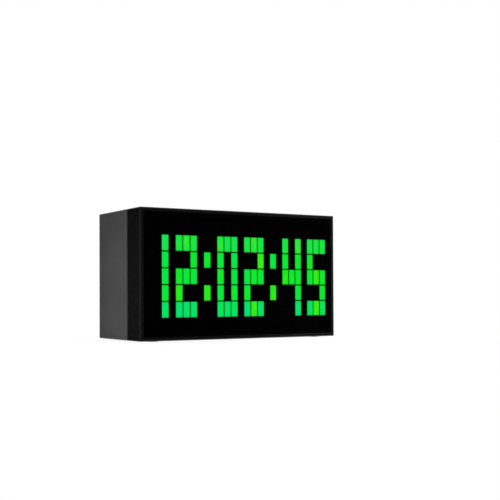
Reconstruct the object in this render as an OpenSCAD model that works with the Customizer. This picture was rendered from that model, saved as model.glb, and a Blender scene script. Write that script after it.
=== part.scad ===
/* [Casing] */
// Width of the casing
case_w = 198; // [178:1:230]
// Height of the casing, without its feet
case_h = 112; // [101:1:130]
// Depth of the casing, from the front rim to the back face
case_d = 88; // [80:1:120]
// Depth of the glossy front frame, from its rim back to the seam
frame_d = 26; // [20:1:34]
// Wall of the front frame, which is also the rim seen round the lens
frame_wall = 3.2; // [2.8:0.1:4]
// Side walls of the rear case
rear_wall = 2.6; // [2.4:0.1:3]
// Back wall of the rear case
back_wall = 2.8; // [2.4:0.1:3.4]
// Thickness of the ribs that tie the screw tubes to the side walls
rib_t = 1.2; // [1:0.1:1.6]
// Rounding of the outer edges
edge_round = 1; // [0.4:0.1:1.2]
// Chamfer along both sides of the seam
seam_chamfer = 0.3; // [0.1:0.1:0.5]
// How far the frame's tongue laps into the rear case
lap_len = 3; // [2:0.1:5]
// Skin of the rear case that stays outside the tongue
lap_skin = 1.3; // [1.1:0.1:1.5]
// Gap round the tongue
lap_gap = 0.1; // [0.05:0.01:0.2]

/* [Lens] */
// Depth of the lens below the rim
lens_inset = 0.6; // [0.2:0.1:1]
// Thickness of the smoked lens
lens_t = 2.5; // [2:0.1:3]
// Gap round the lens in the frame
lens_gap = 0.15; // [0.1:0.05:0.3]
// Thickness of the tape that holds the lens
tape_t = 0.3; // [0.2:0.05:0.5]
// Width of the tape
tape_w = 2.2; // [1.6:0.1:2.4]
// Thickness of the mask panel behind the lens
mask_t = 2; // [1.6:0.1:3]

/* [Time shown] */
// Hours, minutes and seconds that the lit windows show, as six figures
time_shown = "120245"; // ["120245", "073915", "235959"]

/* [Display] */
// Casing left and right of the outermost windows
side_margin = 7.6; // [6.6:0.1:12]
// Width of one lit window
cell_w = 6.4; // [5.4:0.1:7]
// Height of one lit window
cell_h = 13.3; // [11:0.1:14]
// Dark line between the columns of a digit
col_gap = 0.6; // [0.4:0.1:0.8]
// Dark line between the rows of a digit
row_gap = 0.9; // [0.6:0.1:1.4]
// Distance of the windows' middle below the casing's middle
display_drop = 1.5; // [0:0.1:3]
// Depth of the reflector grid
grid_d = 8; // [6:0.5:10]
// Solid margin of the grid round its outer windows
grid_margin = 1.6; // [1:0.1:1.8]
// Gap between the grid and the mask panel, and round each window
grid_gap = 0.05; // [0.03:0.01:0.1]
// Thickness of the milky windows
window_t = 1.6; // [1:0.1:2.5]
// Width of a light-emitting chip
led_w = 3.5; // [2:0.1:4]
// Height of a light-emitting chip
led_h = 2.8; // [2:0.1:4]
// Thickness of a light-emitting chip
led_t = 1.9; // [1:0.1:2.5]

/* [Boards] */
// Thickness of both circuit boards
board_t = 1.6; // [1:0.1:2]
// Gap between the boards and the walls and tubes of the casing
board_gap = 0.8; // [0.5:0.1:1.5]
// Distance of the display board's screws from its middle
display_screw_x = 60; // [30:1:76]
// Distance of the display board's screws from its upper and lower edges
display_screw_in = 4; // [3.5:0.1:4.5]
// Width of the main board
main_w = 160; // [156:1:166]
// Height of the main board
main_h = 70; // [68:1:74]
// Height of the main board's middle above the casing's underside
main_up = 46; // [43:1:50]
// Distance of the main board's screws from its edges
main_screw_in = 5.5; // [4:0.1:7]
// Space between the main board and the back wall
board_stand = 11; // [10.6:0.1:13]
// Width of the controller chip, over its plastic body
chip_w = 12; // [8:0.5:14]
// Length of a driver chip, over its plastic body
driver_l = 10; // [8:0.5:12]
// Width of a driver chip, over its plastic body
driver_w = 4; // [3:0.1:6]
// Thickness of the plastic bodies of the chips
chip_t = 1.5; // [1:0.1:2]
// Spacing of the chips' legs
leg_pitch = 1.27; // [1:0.01:1.5]
// How far the chips' legs reach out
leg_out = 1.2; // [0.8:0.1:1.6]
// Thickness of the chips' legs
leg_t = 0.25; // [0.2:0.01:0.4]
// Length of the crystal can
crystal_l = 11; // [8:0.5:12]
// Width of the crystal can
crystal_w = 4.6; // [3:0.1:5]
// Thickness of the crystal can
crystal_t = 3.5; // [3:0.1:4]
// Width of the voltage regulator
regulator_w = 6.5; // [5.5:0.1:7]
// Height of the voltage regulator
regulator_h = 6.1; // [5:0.1:7]
// Thickness of the voltage regulator
regulator_t = 2.3; // [1.8:0.1:2.8]
// Height of the regulator's metal tab
tab_h = 9.8; // [8:0.1:11]
// Radius of a capacitor can
cap_can_r = 3.2; // [2:0.1:4]
// Height of a capacitor can
cap_can_h = 9; // [6:0.5:12]
// Radius of the buzzer
buzzer_r = 6; // [4.5:0.1:6.5]
// Height of the buzzer
buzzer_h = 8; // [6:0.1:9]
// Radius of the buzzer's own mouth
mouth_r = 1.2; // [0.8:0.1:1.6]
// Depth of that mouth
mouth_depth = 2; // [1:0.1:3]
// Radius of a sound hole
sound_r = 0.8; // [0.5:0.1:1.2]
// Radius of the ring of sound holes
sound_ring_r = 3.4; // [2.8:0.1:4]

/* [Ribbon cable] */
// Number of conductors in the ribbon
ribbon_ways = 10; // [6:1:14]
// Spacing of the conductors
ribbon_pitch = 1.27; // [1:0.01:1.5]
// Thickness of the ribbon
ribbon_t = 0.9; // [0.6:0.1:1.2]
// Radius of the ribbon's bends
ribbon_bend = 5; // [4:0.5:6]
// How far the ribbon hangs below its connectors
ribbon_drop = 16; // [13:1:24]
// Depth of a connector, board to ribbon
plug_d = 6; // [5:0.1:7]
// Height of a connector
plug_h = 5.4; // [4:0.1:7]

/* [Controls] */
// Width of the sunk tray on the back
tray_w = 122; // [118:1:126]
// Height of the tray
tray_h = 17; // [15:0.5:19]
// Depth of the tray
tray_depth = 3.2; // [2.6:0.1:3.4]
// Thickness of the tray's floor
tray_floor = 2; // [1.6:0.1:2.2]
// Height of the tray's middle above the casing's underside
tray_up = 65; // [62:1:67]
// Rounding of the tray's corners
tray_round = 2.5; // [1:0.5:5]
// Distance between two buttons
button_pitch = 17; // [14:0.5:17.5]
// Radius of a button
button_r = 4; // [3:0.1:4.5]
// How far a button stands out of the tray's floor
button_proud = 2.4; // [1.6:0.1:2.6]
// How far a button travels
button_travel = 0.8; // [0.4:0.1:1]
// Radial gap round a button
button_gap = 0.1; // [0.05:0.01:0.1]
// Width of the flange that keeps a button in
flange_w = 1; // [0.6:0.1:1.5]
// Thickness of that flange
flange_t = 1.5; // [1:0.1:1.8]
// Gap between the flange and the tray's floor
flange_gap = 0.3; // [0.3:0.05:0.5]
// Width of a push switch
tact_w = 6; // [5:0.1:7]
// Height of a push switch's body
tact_h = 3.5; // [3:0.1:3.8]
// Radius of a push switch's plunger
plunger_r = 1.75; // [1.2:0.05:2]
// How far the plunger stands out of its switch
plunger_out = 1.6; // [1.2:0.1:1.8]
// Distance of the alarm switch from the middle of the row
switch_x = 46; // [45:0.5:48]
// Travel of the alarm switch
switch_travel = 3; // [2:0.1:3.6]
// Width of the alarm switch's can
switch_w = 9; // [8.6:0.1:12]
// Height of the alarm switch's can
switch_h = 4.6; // [4.2:0.1:6]
// Depth of the alarm switch's can
switch_d = 4.4; // [3.5:0.1:5]
// Thickness of the alarm switch's lever
lever_t = 1.8; // [1.2:0.1:2]
// Width of the alarm switch's knob
knob_w = 4.4; // [3.6:0.1:6]
// Height of the alarm switch's knob
knob_h = 6; // [4:0.1:8]
// Gap under the knob
knob_gap = 0.3; // [0.2:0.05:0.5]
// Thickness of the knob
knob_t = 1.7; // [1.5:0.1:2]
// Width of a grip rib on the knob
grip_w = 0.6; // [0.4:0.1:0.8]
// How far the grip ribs stand out of the knob
grip_out = 0.4; // [0.2:0.1:0.6]

/* [Battery bay] */
// Distance of the battery bay from the middle, towards the left seen from behind
bay_x = 45; // [40:1:52]
// Height of the battery bay above the casing's underside
bay_up = 34; // [30:1:36]
// Radius of the coin cell
cell_r = 10; // [8:0.1:10.2]
// Thickness of the coin cell
cell_t = 3.2; // [2:0.1:3.2]
// Wall of the cell's holder
holder_wall = 1.6; // [1.2:0.1:2]
// Width of the contact strip under the cell
strip_w = 5; // [3:0.1:6]
// Width of the notches beside the cell
notch_w = 6; // [4:0.1:8]
// Radius of the battery cap's disc
cap_r = 15; // [14.6:0.1:17]
// Thickness of the battery cap's disc
cap_t = 1.1; // [0.8:0.1:1.1]
// Radius of the cap's hub, which turns in the back wall
hub_r = 12; // [11:0.1:12.4]
// Radial gap round the hub
hub_gap = 0.08; // [0.04:0.01:0.1]
// How far the bayonet lugs stand out of the hub
lug_out = 1.8; // [1:0.1:2]
// Thickness of the bayonet lugs
lug_t = 1.3; // [1:0.1:1.8]
// Angle that one lug spans
lug_angle = 26; // [16:1:30]
// Turn of the cap between locked and free
cap_turn = 50; // [45:1:60]
// Length of the coin slot in the cap
coin_slot_l = 16; // [10:0.5:20]
// Width of the coin slot
coin_slot_w = 2.2; // [1.6:0.1:2.6]

/* [Power inlet] */
// Distance of the inlet from the middle, towards the right seen from behind
inlet_x = 58; // [50:1:62]
// Height of the inlet above the casing's underside
inlet_up = 26; // [22:1:34]
// Radius of the inlet's socket, for a barrel plug of 5.5 mm
socket_r = 2.75; // [2.5:0.05:3]
// Depth of the inlet's socket
socket_depth = 9.5; // [8:0.1:9.8]
// Radius of the inlet's centre pin
pin_r = 1.05; // [0.8:0.05:1.2]
// Width of the inlet's body
jack_w = 9; // [8:0.1:10]
// Radius of the inlet's nose in the back wall
nose_r = 4; // [3.6:0.1:4.4]

/* [Wall hanging] */
// Distance between the two keyholes
hang_pitch = 120; // [100:1:130]
// Distance of the keyholes' round entries below the casing's top
hang_down = 20; // [17:0.5:22]
// Radius of a keyhole's round entry, which passes the screw's head
hang_r = 4.2; // [3.5:0.1:5]
// Half width of a keyhole's neck, which holds the screw's shank
neck_r = 2.2; // [1.6:0.1:2.4]
// Distance from a keyhole's entry up to the end of its neck
neck_len = 7; // [6:0.5:9]
// Depth of the closed pocket behind each keyhole
pocket_d = 6; // [5:0.5:9]
// Space in that pocket round the keyhole
pocket_gap = 1; // [0.5:0.1:2]
// Wall of that pocket
pocket_wall = 1.4; // [1:0.1:2]

/* [Screws and feet] */
// Radius of the tubes and posts that the case screws join
tube_r = 4.6; // [4.4:0.1:5]
// Shank radius of a case screw
case_screw_r = 1.3; // [1.1:0.1:1.6]
// Grip of a case screw in the rear tube
screw_grip = 8; // [5:0.5:12]
// How deep a case screw reaches into the front post
screw_bite = 10; // [6:0.5:13]
// Radius of a case screw's head
case_head_r = 2.5; // [2.2:0.1:2.7]
// Shank radius of a board screw
board_screw_r = 1.2; // [0.9:0.1:1.4]
// How deep a board screw reaches into its boss
board_screw_bite = 6; // [4:0.5:8]
// Radius of a board screw's head
board_head_r = 2.4; // [2:0.1:2.8]
// Height of all screw heads
head_h = 1.8; // [1.4:0.1:2.2]
// Gap between a screw's thread and the plastic
thread_gap = 0.05; // [0.02:0.01:0.1]
// Outer radius of the posts and bosses that carry the boards
boss_r = 3; // [2.6:0.1:3.2]
// Radius of a foot
foot_r = 5; // [3:0.5:6]
// How far the feet stand out below the casing
foot_proud = 0.6; // [0.4:0.1:1.5]
// Depth of the pocket that holds a foot
foot_sunk = 1; // [0.6:0.1:1.4]
// Distance of the feet from the casing's sides
foot_in_x = 16; // [12:1:30]
// Distance of the feet from the casing's front and back
foot_in_y = 11; // [9:1:13]

/* [Hidden] */
$fn = 64;

// Facets in a quarter turn of a rounded outline
arc_steps = 5;
// Overshoot of a cut past the face that it opens
cut = 1;

// Levels in depth, from the front rim to the back face
y_front = -case_d / 2;
y_back = case_d / 2;
y_seam = y_front + frame_d;
y_lens = y_front + lens_inset;
y_tape = y_lens + lens_t;
y_mask = y_tape + tape_t;
y_mask_back = y_mask + mask_t;
y_board = y_mask + grid_d;
y_board_back = y_board + board_t;
y_wall_in = y_back - back_wall;
y_main_back = y_wall_in - board_stand;
y_main = y_main_back - board_t;
y_tray = y_back - tray_depth;
y_tray_in = y_tray - tray_floor;

// The display's grid of windows
col_step = cell_w + col_gap;
row_step = cell_h + row_gap;
digit_w = 3 * cell_w + 2 * col_gap;
display_w = case_w - 2 * side_margin;
display_h = 5 * cell_h + 4 * row_gap;
grid_w = display_w + 2 * grid_margin;
grid_h = display_h + 2 * grid_margin;
colon_rows = [1, 3];

// Seven even spaces part the six digits and the two colons
digit_gap = (display_w - 6 * digit_w - 2 * cell_w) / 7;
digit_step = digit_w + digit_gap;
colon_step = cell_w + digit_gap;

// Levels in height
z_low = foot_proud;
z_high = z_low + case_h;
z_mid = z_low + case_h / 2;
z_display = z_mid - display_drop;
z_main = z_low + main_up;
z_tray = z_low + tray_up;
z_bay = z_low + bay_up;
z_inlet = z_low + inlet_up;
z_hang = z_high - hang_down;

// Openings inside the walls
frame_in_w = case_w - 2 * frame_wall;
frame_in_h = case_h - 2 * frame_wall;
rear_in_w = case_w - 2 * rear_wall;
rear_in_h = case_h - 2 * rear_wall;

// Shapes of the numbers on a grid of three columns and five rows, top row first
GLYPHS = [
    ["###", "#.#", "#.#", "#.#", "###"],
    ["..#", "..#", "..#", "..#", "..#"],
    ["###", "..#", "###", "#..", "###"],
    ["###", "..#", "###", "..#", "###"],
    ["#.#", "#.#", "###", "..#", "..#"],
    ["###", "#..", "###", "..#", "###"],
    ["###", "#..", "###", "#.#", "###"],
    ["###", "..#", "..#", "..#", "..#"],
    ["###", "#.#", "###", "#.#", "###"],
    ["###", "#.#", "###", "..#", "###"]
];

// The six numbers shown, from the tens of the hour to the units of the second
shown = [for (c = time_shown) ord(c) - ord("0")];

// The board screws of the display, and the corner that the case screws keep free
display_board_w = frame_in_w - 2 * board_gap;
display_board_h = frame_in_h - 2 * board_gap;
display_screw_z = display_board_h / 2 - display_screw_in;
display_post_h = grid_d - mask_t;
tube_in = rear_wall + tube_r + 0.5;
tube_x = case_w / 2 - tube_in;
tube_z = case_h / 2 - tube_in;
corner_keep = tube_in + tube_r + board_gap;
y_screw_seat = y_seam + screw_grip;
head_hole_r = case_head_r + 0.3;

// The main board's parts, placed about its middle
main_screw_x = main_w / 2 - main_screw_in;
main_screw_z = main_h / 2 - main_screw_in;
plug_w = ribbon_ways * ribbon_pitch + 2.8;
z_plug = z_mid + 2;
y_plug_display = y_board_back + plug_d;
y_plug_main = y_main - plug_d;
chip_x = -38;
crystal_x = -58;
capacitor_x = 48;
capacitor_step = 10;
regulator_x = 30;
z_parts = z_main - 14;
buzzer_x = 8;
z_buzzer = z_low + 30;

// The row of buttons, seen from the front of the clock
button_count = 5;
button_x = [for (i = [0:button_count - 1]) (i - 2) * button_pitch - 15];
y_flange_back = y_tray_in - flange_gap;
y_flange = y_flange_back - flange_t;
y_tip = y_main_back + tact_h + plunger_out;
plunger_depth = tact_h - button_travel - 0.8;
y_knob = y_tray + knob_gap + knob_t;
y_lever = y_knob - 0.8;

// The battery bay
cap_seat = cap_t + 0.4;
y_cap = y_back - 0.2 - cap_t;
y_cell = y_main_back + 1.3;
y_cell_top = y_cell + cell_t;
y_hub = y_cell_top + 0.4;
y_lug_top = y_wall_in - 0.3;
holder_r = cell_r + 0.15;
well_r = hub_r + lug_out + 0.5;

// Points of a quarter turn of radius r about a corner, or the corner itself
function quarter(x, y, r, from) = r == 0 ? [[x, y]] : [
    for (i = [0:arc_steps])
        let (a = from + 90 * i / arc_steps)
        [x + r * cos(a), y + r * sin(a)]
];

// Outline of a w by h rectangle with its lower and its upper corners rounded
function outline(w, h, low, high) = concat(
    quarter(w / 2 - high, h / 2 - high, high, 0),
    quarter(-w / 2 + high, h / 2 - high, high, 90),
    quarter(-w / 2 + low, -h / 2 + low, low, 180),
    quarter(w / 2 - low, -h / 2 + low, low, 270)
);

// Upright plate, w wide and h high about (x, z), from y0 back to y1
module plate(w, h, y0, y1, x = 0, z = z_mid, r = 0) {
    translate([x, y1, z])
        rotate([90, 0, 0])
            linear_extrude(y1 - y0)
                polygon(outline(w, h, r, r));
}

// Round bar along the depth, from y0 back to y1
module bar(r, y0, y1, x = 0, z = 0) {
    translate([x, y1, z])
        rotate([90, 0, 0])
            cylinder(r = r, h = y1 - y0);
}

// Round bar whose radius changes from r0 at y0 to r1 at y1
module taper(r0, r1, y0, y1, x = 0, z = 0) {
    translate([x, y1, z])
        rotate([90, 0, 0])
            cylinder(r1 = r1, r2 = r0, h = y1 - y0);
}

// Block of the casing from y0 back to y1, with its outer edges rounded
module casing_block(y0, y1, front_r, back_r) {
    y_middle = (y0 + y1) / 2;
    side = outline(case_h, y1 - y0, front_r, back_r);
    intersection() {
        plate(case_w, case_h, y0, y1, r = edge_round);
        translate([0, y_middle, z_low - cut])
            linear_extrude(case_h + 2 * cut)
                polygon(outline(case_w, y1 - y0, front_r, back_r));
        translate([-case_w / 2 - cut, y_middle, z_mid])
            rotate([90, 0, 90])
                linear_extrude(case_w + 2 * cut)
                    polygon([for (p = side) [p[1], p[0]]]);
    }
}

// Puts its children at the four corners (x, z) about the middle of the casing
module at_corners(x, z, middle) {
    for (sx = [-1, 1])
        for (sz = [-1, 1])
            translate([sx * x, 0, middle + sz * z])
                children();
}

// Screw whose head rests on y0; its shank points to the front, or to the back
module screw(shank_r, length, head_r, y0, to_front) {
    side = to_front ? 1 : -1;
    difference() {
        union() {
            bar(head_r, min(y0, y0 + side * head_h), max(y0, y0 + side * head_h));
            bar(shank_r, min(y0, y0 - side * length), max(y0, y0 - side * length));
        }
        for (turn = [0, 90])
            translate([0, y0 + side * head_h, 0])
                rotate([0, turn, 0])
                    cube([head_r * 1.3, head_h, 0.6], center = true);
    }
}

// Left edge of the digit d, counted from 0
function digit_x(d) = -display_w / 2 + d * digit_step + floor(d / 2) * colon_step;

// Left edge of the colon c, counted from 0
function colon_x(c) = digit_x(2 * c + 1) + digit_step;

// Whether a digit has a window at this column and row
function has_cell(col, row) = col != 1 || row % 2 == 0;

// Whether the window at this column and row is lit for the number n
function is_lit(n, col, row) = GLYPHS[n][row][col] == "#";

// Middle of row r above the casing, top row first
function row_z(r) = z_display + (2 - r) * row_step;

// One window block whose left edge is at x
module cell_block(x, row, y0, y1, grow = 0) {
    plate(cell_w + 2 * grow, cell_h + 2 * grow, y0, y1, x + cell_w / 2, row_z(row));
}

// Lit windows of the digit d
module digit_windows(d) {
    color("limegreen")
        for (col = [0:2])
            for (row = [0:4])
                if (has_cell(col, row) && is_lit(shown[d], col, row))
                    cell_block(digit_x(d) + col * col_step, row, y_mask, y_mask + window_t);
}

// Front frame: a deep open box with a rim, a mask panel behind the lens, a tongue
// at the seam, four posts for the display board and four for the case screws
module front_frame() {
    color([0.07, 0.07, 0.075])
        difference() {
            union() {
                difference() {
                    union() {
                        casing_block(y_front, y_seam, edge_round, seam_chamfer);
                        tongue();
                    }
                    plate(frame_in_w, frame_in_h, y_front - cut, y_mask);
                    plate(frame_in_w, frame_in_h, y_mask_back, y_seam);
                    tongue_inside();
                    plate(
                        grid_w + 2 * grid_gap, grid_h + 2 * grid_gap,
                        y_mask - cut, y_mask_back + cut, z = z_display
                    );
                }
                at_corners(display_screw_x, display_screw_z, z_mid)
                    bar(boss_r, y_mask_back - 0.5, y_board);
                at_corners(tube_x, tube_z, z_mid)
                    bar(tube_r, y_mask_back - 0.5, y_seam);
            }
            at_corners(display_screw_x, display_screw_z, z_mid)
                bar(board_screw_r + thread_gap, y_mask_back, y_board + cut);
            at_corners(tube_x, tube_z, z_mid)
                bar(case_screw_r + thread_gap, y_seam - screw_bite - 1, y_seam + cut);
            for (sx = [-1, 1])
                foot_hole(sx * (case_w / 2 - foot_in_x), y_front + foot_in_y);
        }
}

// Thin wall that laps into the rear case
module tongue() {
    plate(
        case_w - 2 * (lap_skin + lap_gap), case_h - 2 * (lap_skin + lap_gap),
        y_seam - cut, y_seam + lap_len
    );
}

// Space inside the tongue, in line with the rear case's inner walls
module tongue_inside() {
    plate(rear_in_w, rear_in_h, y_seam, y_seam + lap_len + cut);
}

// Round pocket for a foot in the casing's underside
module foot_hole(x, y) {
    translate([x, y, z_low - cut])
        cylinder(r = foot_r + thread_gap, h = foot_sunk + cut);
}

// Smoked acrylic lens, dropped into the frame from the front
module front_lens() {
    color([0.03, 0.03, 0.035, 0.6])
        plate(
            frame_in_w - 2 * lens_gap, frame_in_h - 2 * lens_gap,
            y_lens, y_tape, r = edge_round / 2
        );
}

// Double-sided tape in a ring behind the lens
module lens_tape() {
    tape_out_w = frame_in_w - 2 * lens_gap;
    tape_out_h = frame_in_h - 2 * lens_gap;
    color([0.1, 0.1, 0.1])
        difference() {
            plate(tape_out_w, tape_out_h, y_tape, y_mask);
            plate(tape_out_w - 2 * tape_w, tape_out_h - 2 * tape_w, y_tape - cut, y_mask + cut);
        }
}

// Black reflector grid with one well for each window, clear of the frame's posts
module display_grid() {
    color([0.05, 0.05, 0.05])
        difference() {
            plate(grid_w, grid_h, y_mask, y_board, z = z_display);
            for (d = [0:5])
                for (col = [0:2])
                    for (row = [0:4])
                        if (has_cell(col, row))
                            cell_block(
                                digit_x(d) + col * col_step, row,
                                y_mask - cut, y_board + cut, grid_gap
                            );
            for (c = [0, 1])
                for (row = colon_rows)
                    cell_block(colon_x(c), row, y_mask - cut, y_board + cut, grid_gap);
            at_corners(tube_x, tube_z, z_mid)
                bar(tube_r + grid_gap, y_mask - cut, y_board + cut);
        }
}

// Windows of the two colons
module colon_windows() {
    color("limegreen")
        for (c = [0, 1])
            for (row = colon_rows)
                cell_block(colon_x(c), row, y_mask, y_mask + window_t);
}

// Windows that stay dark at the time shown
module unlit_windows() {
    color([0.12, 0.13, 0.12])
        for (d = [0:5])
            for (col = [0:2])
                for (row = [0:4])
                    if (has_cell(col, row) && !is_lit(shown[d], col, row))
                        cell_block(
                            digit_x(d) + col * col_step, row, y_mask, y_mask + window_t
                        );
}

// One light-emitting chip behind the window whose left edge is at x
module led(x, row) {
    plate(led_w, led_h, y_board - led_t, y_board, x + cell_w / 2, row_z(row));
}

// A light-emitting chip in the middle of each well
module led_chips() {
    color("ivory") {
        for (d = [0:5])
            for (col = [0:2])
                for (row = [0:4])
                    if (has_cell(col, row))
                        led(digit_x(d) + col * col_step, row);
        for (c = [0, 1])
            for (row = colon_rows)
                led(colon_x(c), row);
    }
}

// Display board, notched at its corners for the case screws' posts
module display_board() {
    color("darkgreen")
        difference() {
            plate(display_board_w, display_board_h, y_board, y_board_back);
            at_corners(case_w / 2, case_h / 2, z_mid)
                plate(2 * corner_keep, 2 * corner_keep, y_board - cut, y_board_back + cut, z = 0);
            at_corners(display_screw_x, display_screw_z, z_mid)
                bar(board_screw_r + thread_gap, y_board - cut, y_board_back + cut);
        }
}

// Four screws through the display board
module display_screws() {
    color("silver")
        at_corners(display_screw_x, display_screw_z, z_mid)
            screw(board_screw_r, board_t + display_post_h - 0.5, board_head_r, y_board_back, true);
}

// Row of legs along both long sides of a chip, feet on the board at y0
module legs(count, body_w, y0, y1) {
    span = (count - 1) * leg_pitch;
    for (side = [-1, 1])
        for (i = [0:count - 1])
            translate([i * leg_pitch - span / 2, 0, side * (body_w / 2 + leg_out / 2 - 0.1)])
                plate(leg_pitch * 0.35, leg_out + 0.2, y0, y1, z = 0);
}

// Three driver chips on the back of the display board
module driver_chips() {
    leg_count = floor((driver_l - 1) / leg_pitch);
    color([0.1, 0.1, 0.1])
        for (i = [-1:1])
            translate([i * digit_step * 2, 0, z_mid - 24]) {
                plate(driver_l, driver_w, y_board_back + leg_t, y_board_back + leg_t + chip_t, z = 0);
                legs(leg_count, driver_w, y_board_back, y_board_back + 2 * leg_t);
            }
}

// Box of a ribbon connector with a slot for the ribbon
module connector(y0, y1, slot_back) {
    slot_mid = slot_back ? y1 : y0;
    color("whitesmoke")
        difference() {
            plate(plug_w, plug_h, y0, y1, z = z_plug);
            plate(
                ribbon_ways * ribbon_pitch + 0.2, ribbon_t + 0.1,
                slot_mid - 2, slot_mid + 2, z = z_plug
            );
        }
}

module display_connector() {
    connector(y_board_back, y_plug_display, true);
}

module main_connector() {
    connector(y_plug_main, y_main, false);
}

// Bend of the ribbon about a point, as seen from the side; out grows the radius
function bend(y, z, out, from, to) = [
    for (i = [0:2 * arc_steps])
        let (
            a = from + (to - from) * i / (2 * arc_steps),
            r = ribbon_bend + out * ribbon_t / 2
        )
        [y + r * cos(a), z + r * sin(a)]
];

// One face of the hanging ribbon, from the display's connector to the main board's
function ribbon_face(s) =
    let (
        lead = 4,
        y0 = y_plug_display + lead,
        y1 = y_plug_main - lead,
        z_top = z_plug - ribbon_bend,
        z_end = z_plug - ribbon_drop + ribbon_bend
    )
    concat(
        [[y_plug_display - 2, z_plug + s * ribbon_t / 2]],
        bend(y0, z_top, s, 90, 0),
        bend(y0 + 2 * ribbon_bend, z_end, -s, 180, 270),
        bend(y1 - 2 * ribbon_bend, z_end, -s, 270, 360),
        bend(y1, z_top, s, 180, 90),
        [[y_plug_main + 2, z_plug + s * ribbon_t / 2]]
    );

// Flat ribbon cable that hangs in a loop between the two boards
module ribbon_cable() {
    upper = ribbon_face(1);
    lower = ribbon_face(-1);
    count = len(lower);
    width = ribbon_ways * ribbon_pitch;
    color("lightgray")
        translate([-width / 2, 0, 0])
            rotate([90, 0, 90])
                linear_extrude(width)
                    polygon(concat(upper, [for (i = [1:count]) lower[count - i]]));
}

// Main board on four bosses of the rear case, clear of the screw tubes
module main_board() {
    color("darkgreen")
        difference() {
            plate(main_w, main_h, y_main, y_main_back, z = z_main);
            at_corners(tube_x, tube_z, z_mid)
                bar(tube_r + board_gap, y_main - cut, y_main_back + cut);
            at_corners(main_screw_x, main_screw_z, z_main)
                bar(board_screw_r + thread_gap, y_main - cut, y_main_back + cut);
        }
}

// Four screws through the main board
module board_screws() {
    color("silver")
        at_corners(main_screw_x, main_screw_z, z_main)
            screw(board_screw_r, board_t + board_screw_bite, board_head_r, y_main, false);
}

// Controller chip with legs on two sides, on the front of the main board
module controller_chip() {
    leg_count = floor((chip_w - 1) / leg_pitch);
    color([0.1, 0.1, 0.1])
        translate([chip_x, 0, z_parts]) {
            plate(chip_w, chip_w, y_main - leg_t - chip_t, y_main - leg_t, z = 0);
            legs(leg_count, chip_w, y_main - 2 * leg_t, y_main);
        }
}

// Crystal in its flat metal can
module crystal() {
    color("silver")
        plate(
            crystal_l, crystal_w, y_main - crystal_t, y_main,
            crystal_x, z_parts, crystal_w / 2 - 0.1
        );
}

// Two capacitors standing on the main board
module capacitors() {
    color("midnightblue")
        for (i = [0, 1])
            translate([capacitor_x + i * capacitor_step, 0, z_parts]) {
                bar(cap_can_r, y_main - cap_can_h, y_main - 1);
                bar(cap_can_r - 0.3, y_main - 1.4, y_main - 0.8);
                bar(cap_can_r + 0.2, y_main - 0.9, y_main);
            }
}

// Voltage regulator with its metal tab
module voltage_regulator() {
    color([0.1, 0.1, 0.1])
        union() {
            plate(regulator_w, regulator_h, y_main - regulator_t, y_main, regulator_x, z_parts);
            plate(regulator_w - 1.2, tab_h, y_main - 2 * leg_t, y_main, regulator_x, z_parts);
        }
}

// Round buzzer under the sound holes, with its own mouth
module buzzer() {
    color([0.08, 0.08, 0.08])
        difference() {
            bar(buzzer_r, y_main_back, y_main_back + buzzer_h, buzzer_x, z_buzzer);
            bar(
                mouth_r, y_main_back + buzzer_h - mouth_depth, y_main_back + buzzer_h + cut,
                buzzer_x, z_buzzer
            );
        }
}

// Bodies of the five push switches, each bored for its plunger
module push_switches() {
    color([0.12, 0.12, 0.12])
        for (x = button_x)
            difference() {
                plate(tact_w, tact_w, y_main_back, y_main_back + tact_h, x, z_tray);
                bar(
                    plunger_r + button_gap, y_main_back + 0.6, y_main_back + tact_h + cut,
                    x, z_tray
                );
            }
}

// Plunger of the push switch i
module plunger(i) {
    color("white")
        bar(plunger_r, y_tip - plunger_out - plunger_depth, y_tip, button_x[i], z_tray);
}

// Button i, with the flange that keeps it in and the stem that meets its plunger
module button(i) {
    face = y_tray + button_proud;
    color([0.05, 0.05, 0.05])
        translate([button_x[i], 0, z_tray])
            union() {
                taper(button_r, button_r - 0.4, face - 0.4, face);
                bar(button_r, y_flange, face - 0.4);
                bar(button_r + flange_w, y_flange, y_flange_back);
                bar(plunger_r + 0.3, y_tip, y_flange + 0.5);
            }
}

// Metal can of the alarm switch, with a slot along its travel
module alarm_switch_can() {
    color("silver")
        difference() {
            plate(switch_w, switch_h, y_main_back, y_main_back + switch_d, switch_x, z_tray);
            plate(
                switch_travel + lever_t + 0.6, lever_t + 0.6,
                y_main_back + 1, y_main_back + switch_d + cut, switch_x, z_tray
            );
        }
}

// Lever of the alarm switch, at the end of its travel nearer the buttons
module alarm_switch_lever() {
    color([0.15, 0.15, 0.15])
        plate(
            lever_t, lever_t, y_main_back + 1.3, y_lever,
            switch_x - switch_travel / 2, z_tray
        );
}

// Knob pressed on the lever's end, with three grip ribs
module alarm_switch_knob() {
    x = switch_x - switch_travel / 2;
    color([0.05, 0.05, 0.05])
        difference() {
            union() {
                plate(knob_w, knob_h, y_tray + knob_gap, y_knob, x, z_tray, 0.6);
                for (i = [-1:1])
                    plate(
                        grip_w, knob_h - 1.4, y_knob - 0.2, y_knob + grip_out,
                        x + i * knob_w / 4, z_tray
                    );
            }
            plate(
                lever_t + 2 * thread_gap, lever_t + 2 * thread_gap,
                y_tray, y_lever + thread_gap, x, z_tray
            );
        }
}

// Plastic holder for the coin cell, open towards the back
module cell_holder() {
    color([0.1, 0.1, 0.1])
        translate([bay_x, 0, z_bay])
            difference() {
                bar(holder_r + holder_wall, y_main_back, y_cell_top - 0.4);
                bar(holder_r, y_main_back + 1, y_cell_top + cut);
                plate(notch_w, 4 * holder_r, y_cell + 1, y_cell_top + cut, z = 0);
            }
}

// Contact strip under the cell
module cell_contacts() {
    color("gold")
        plate(strip_w, 2 * cell_r - 4, y_main_back + 1, y_cell, bay_x, z_bay);
}

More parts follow.
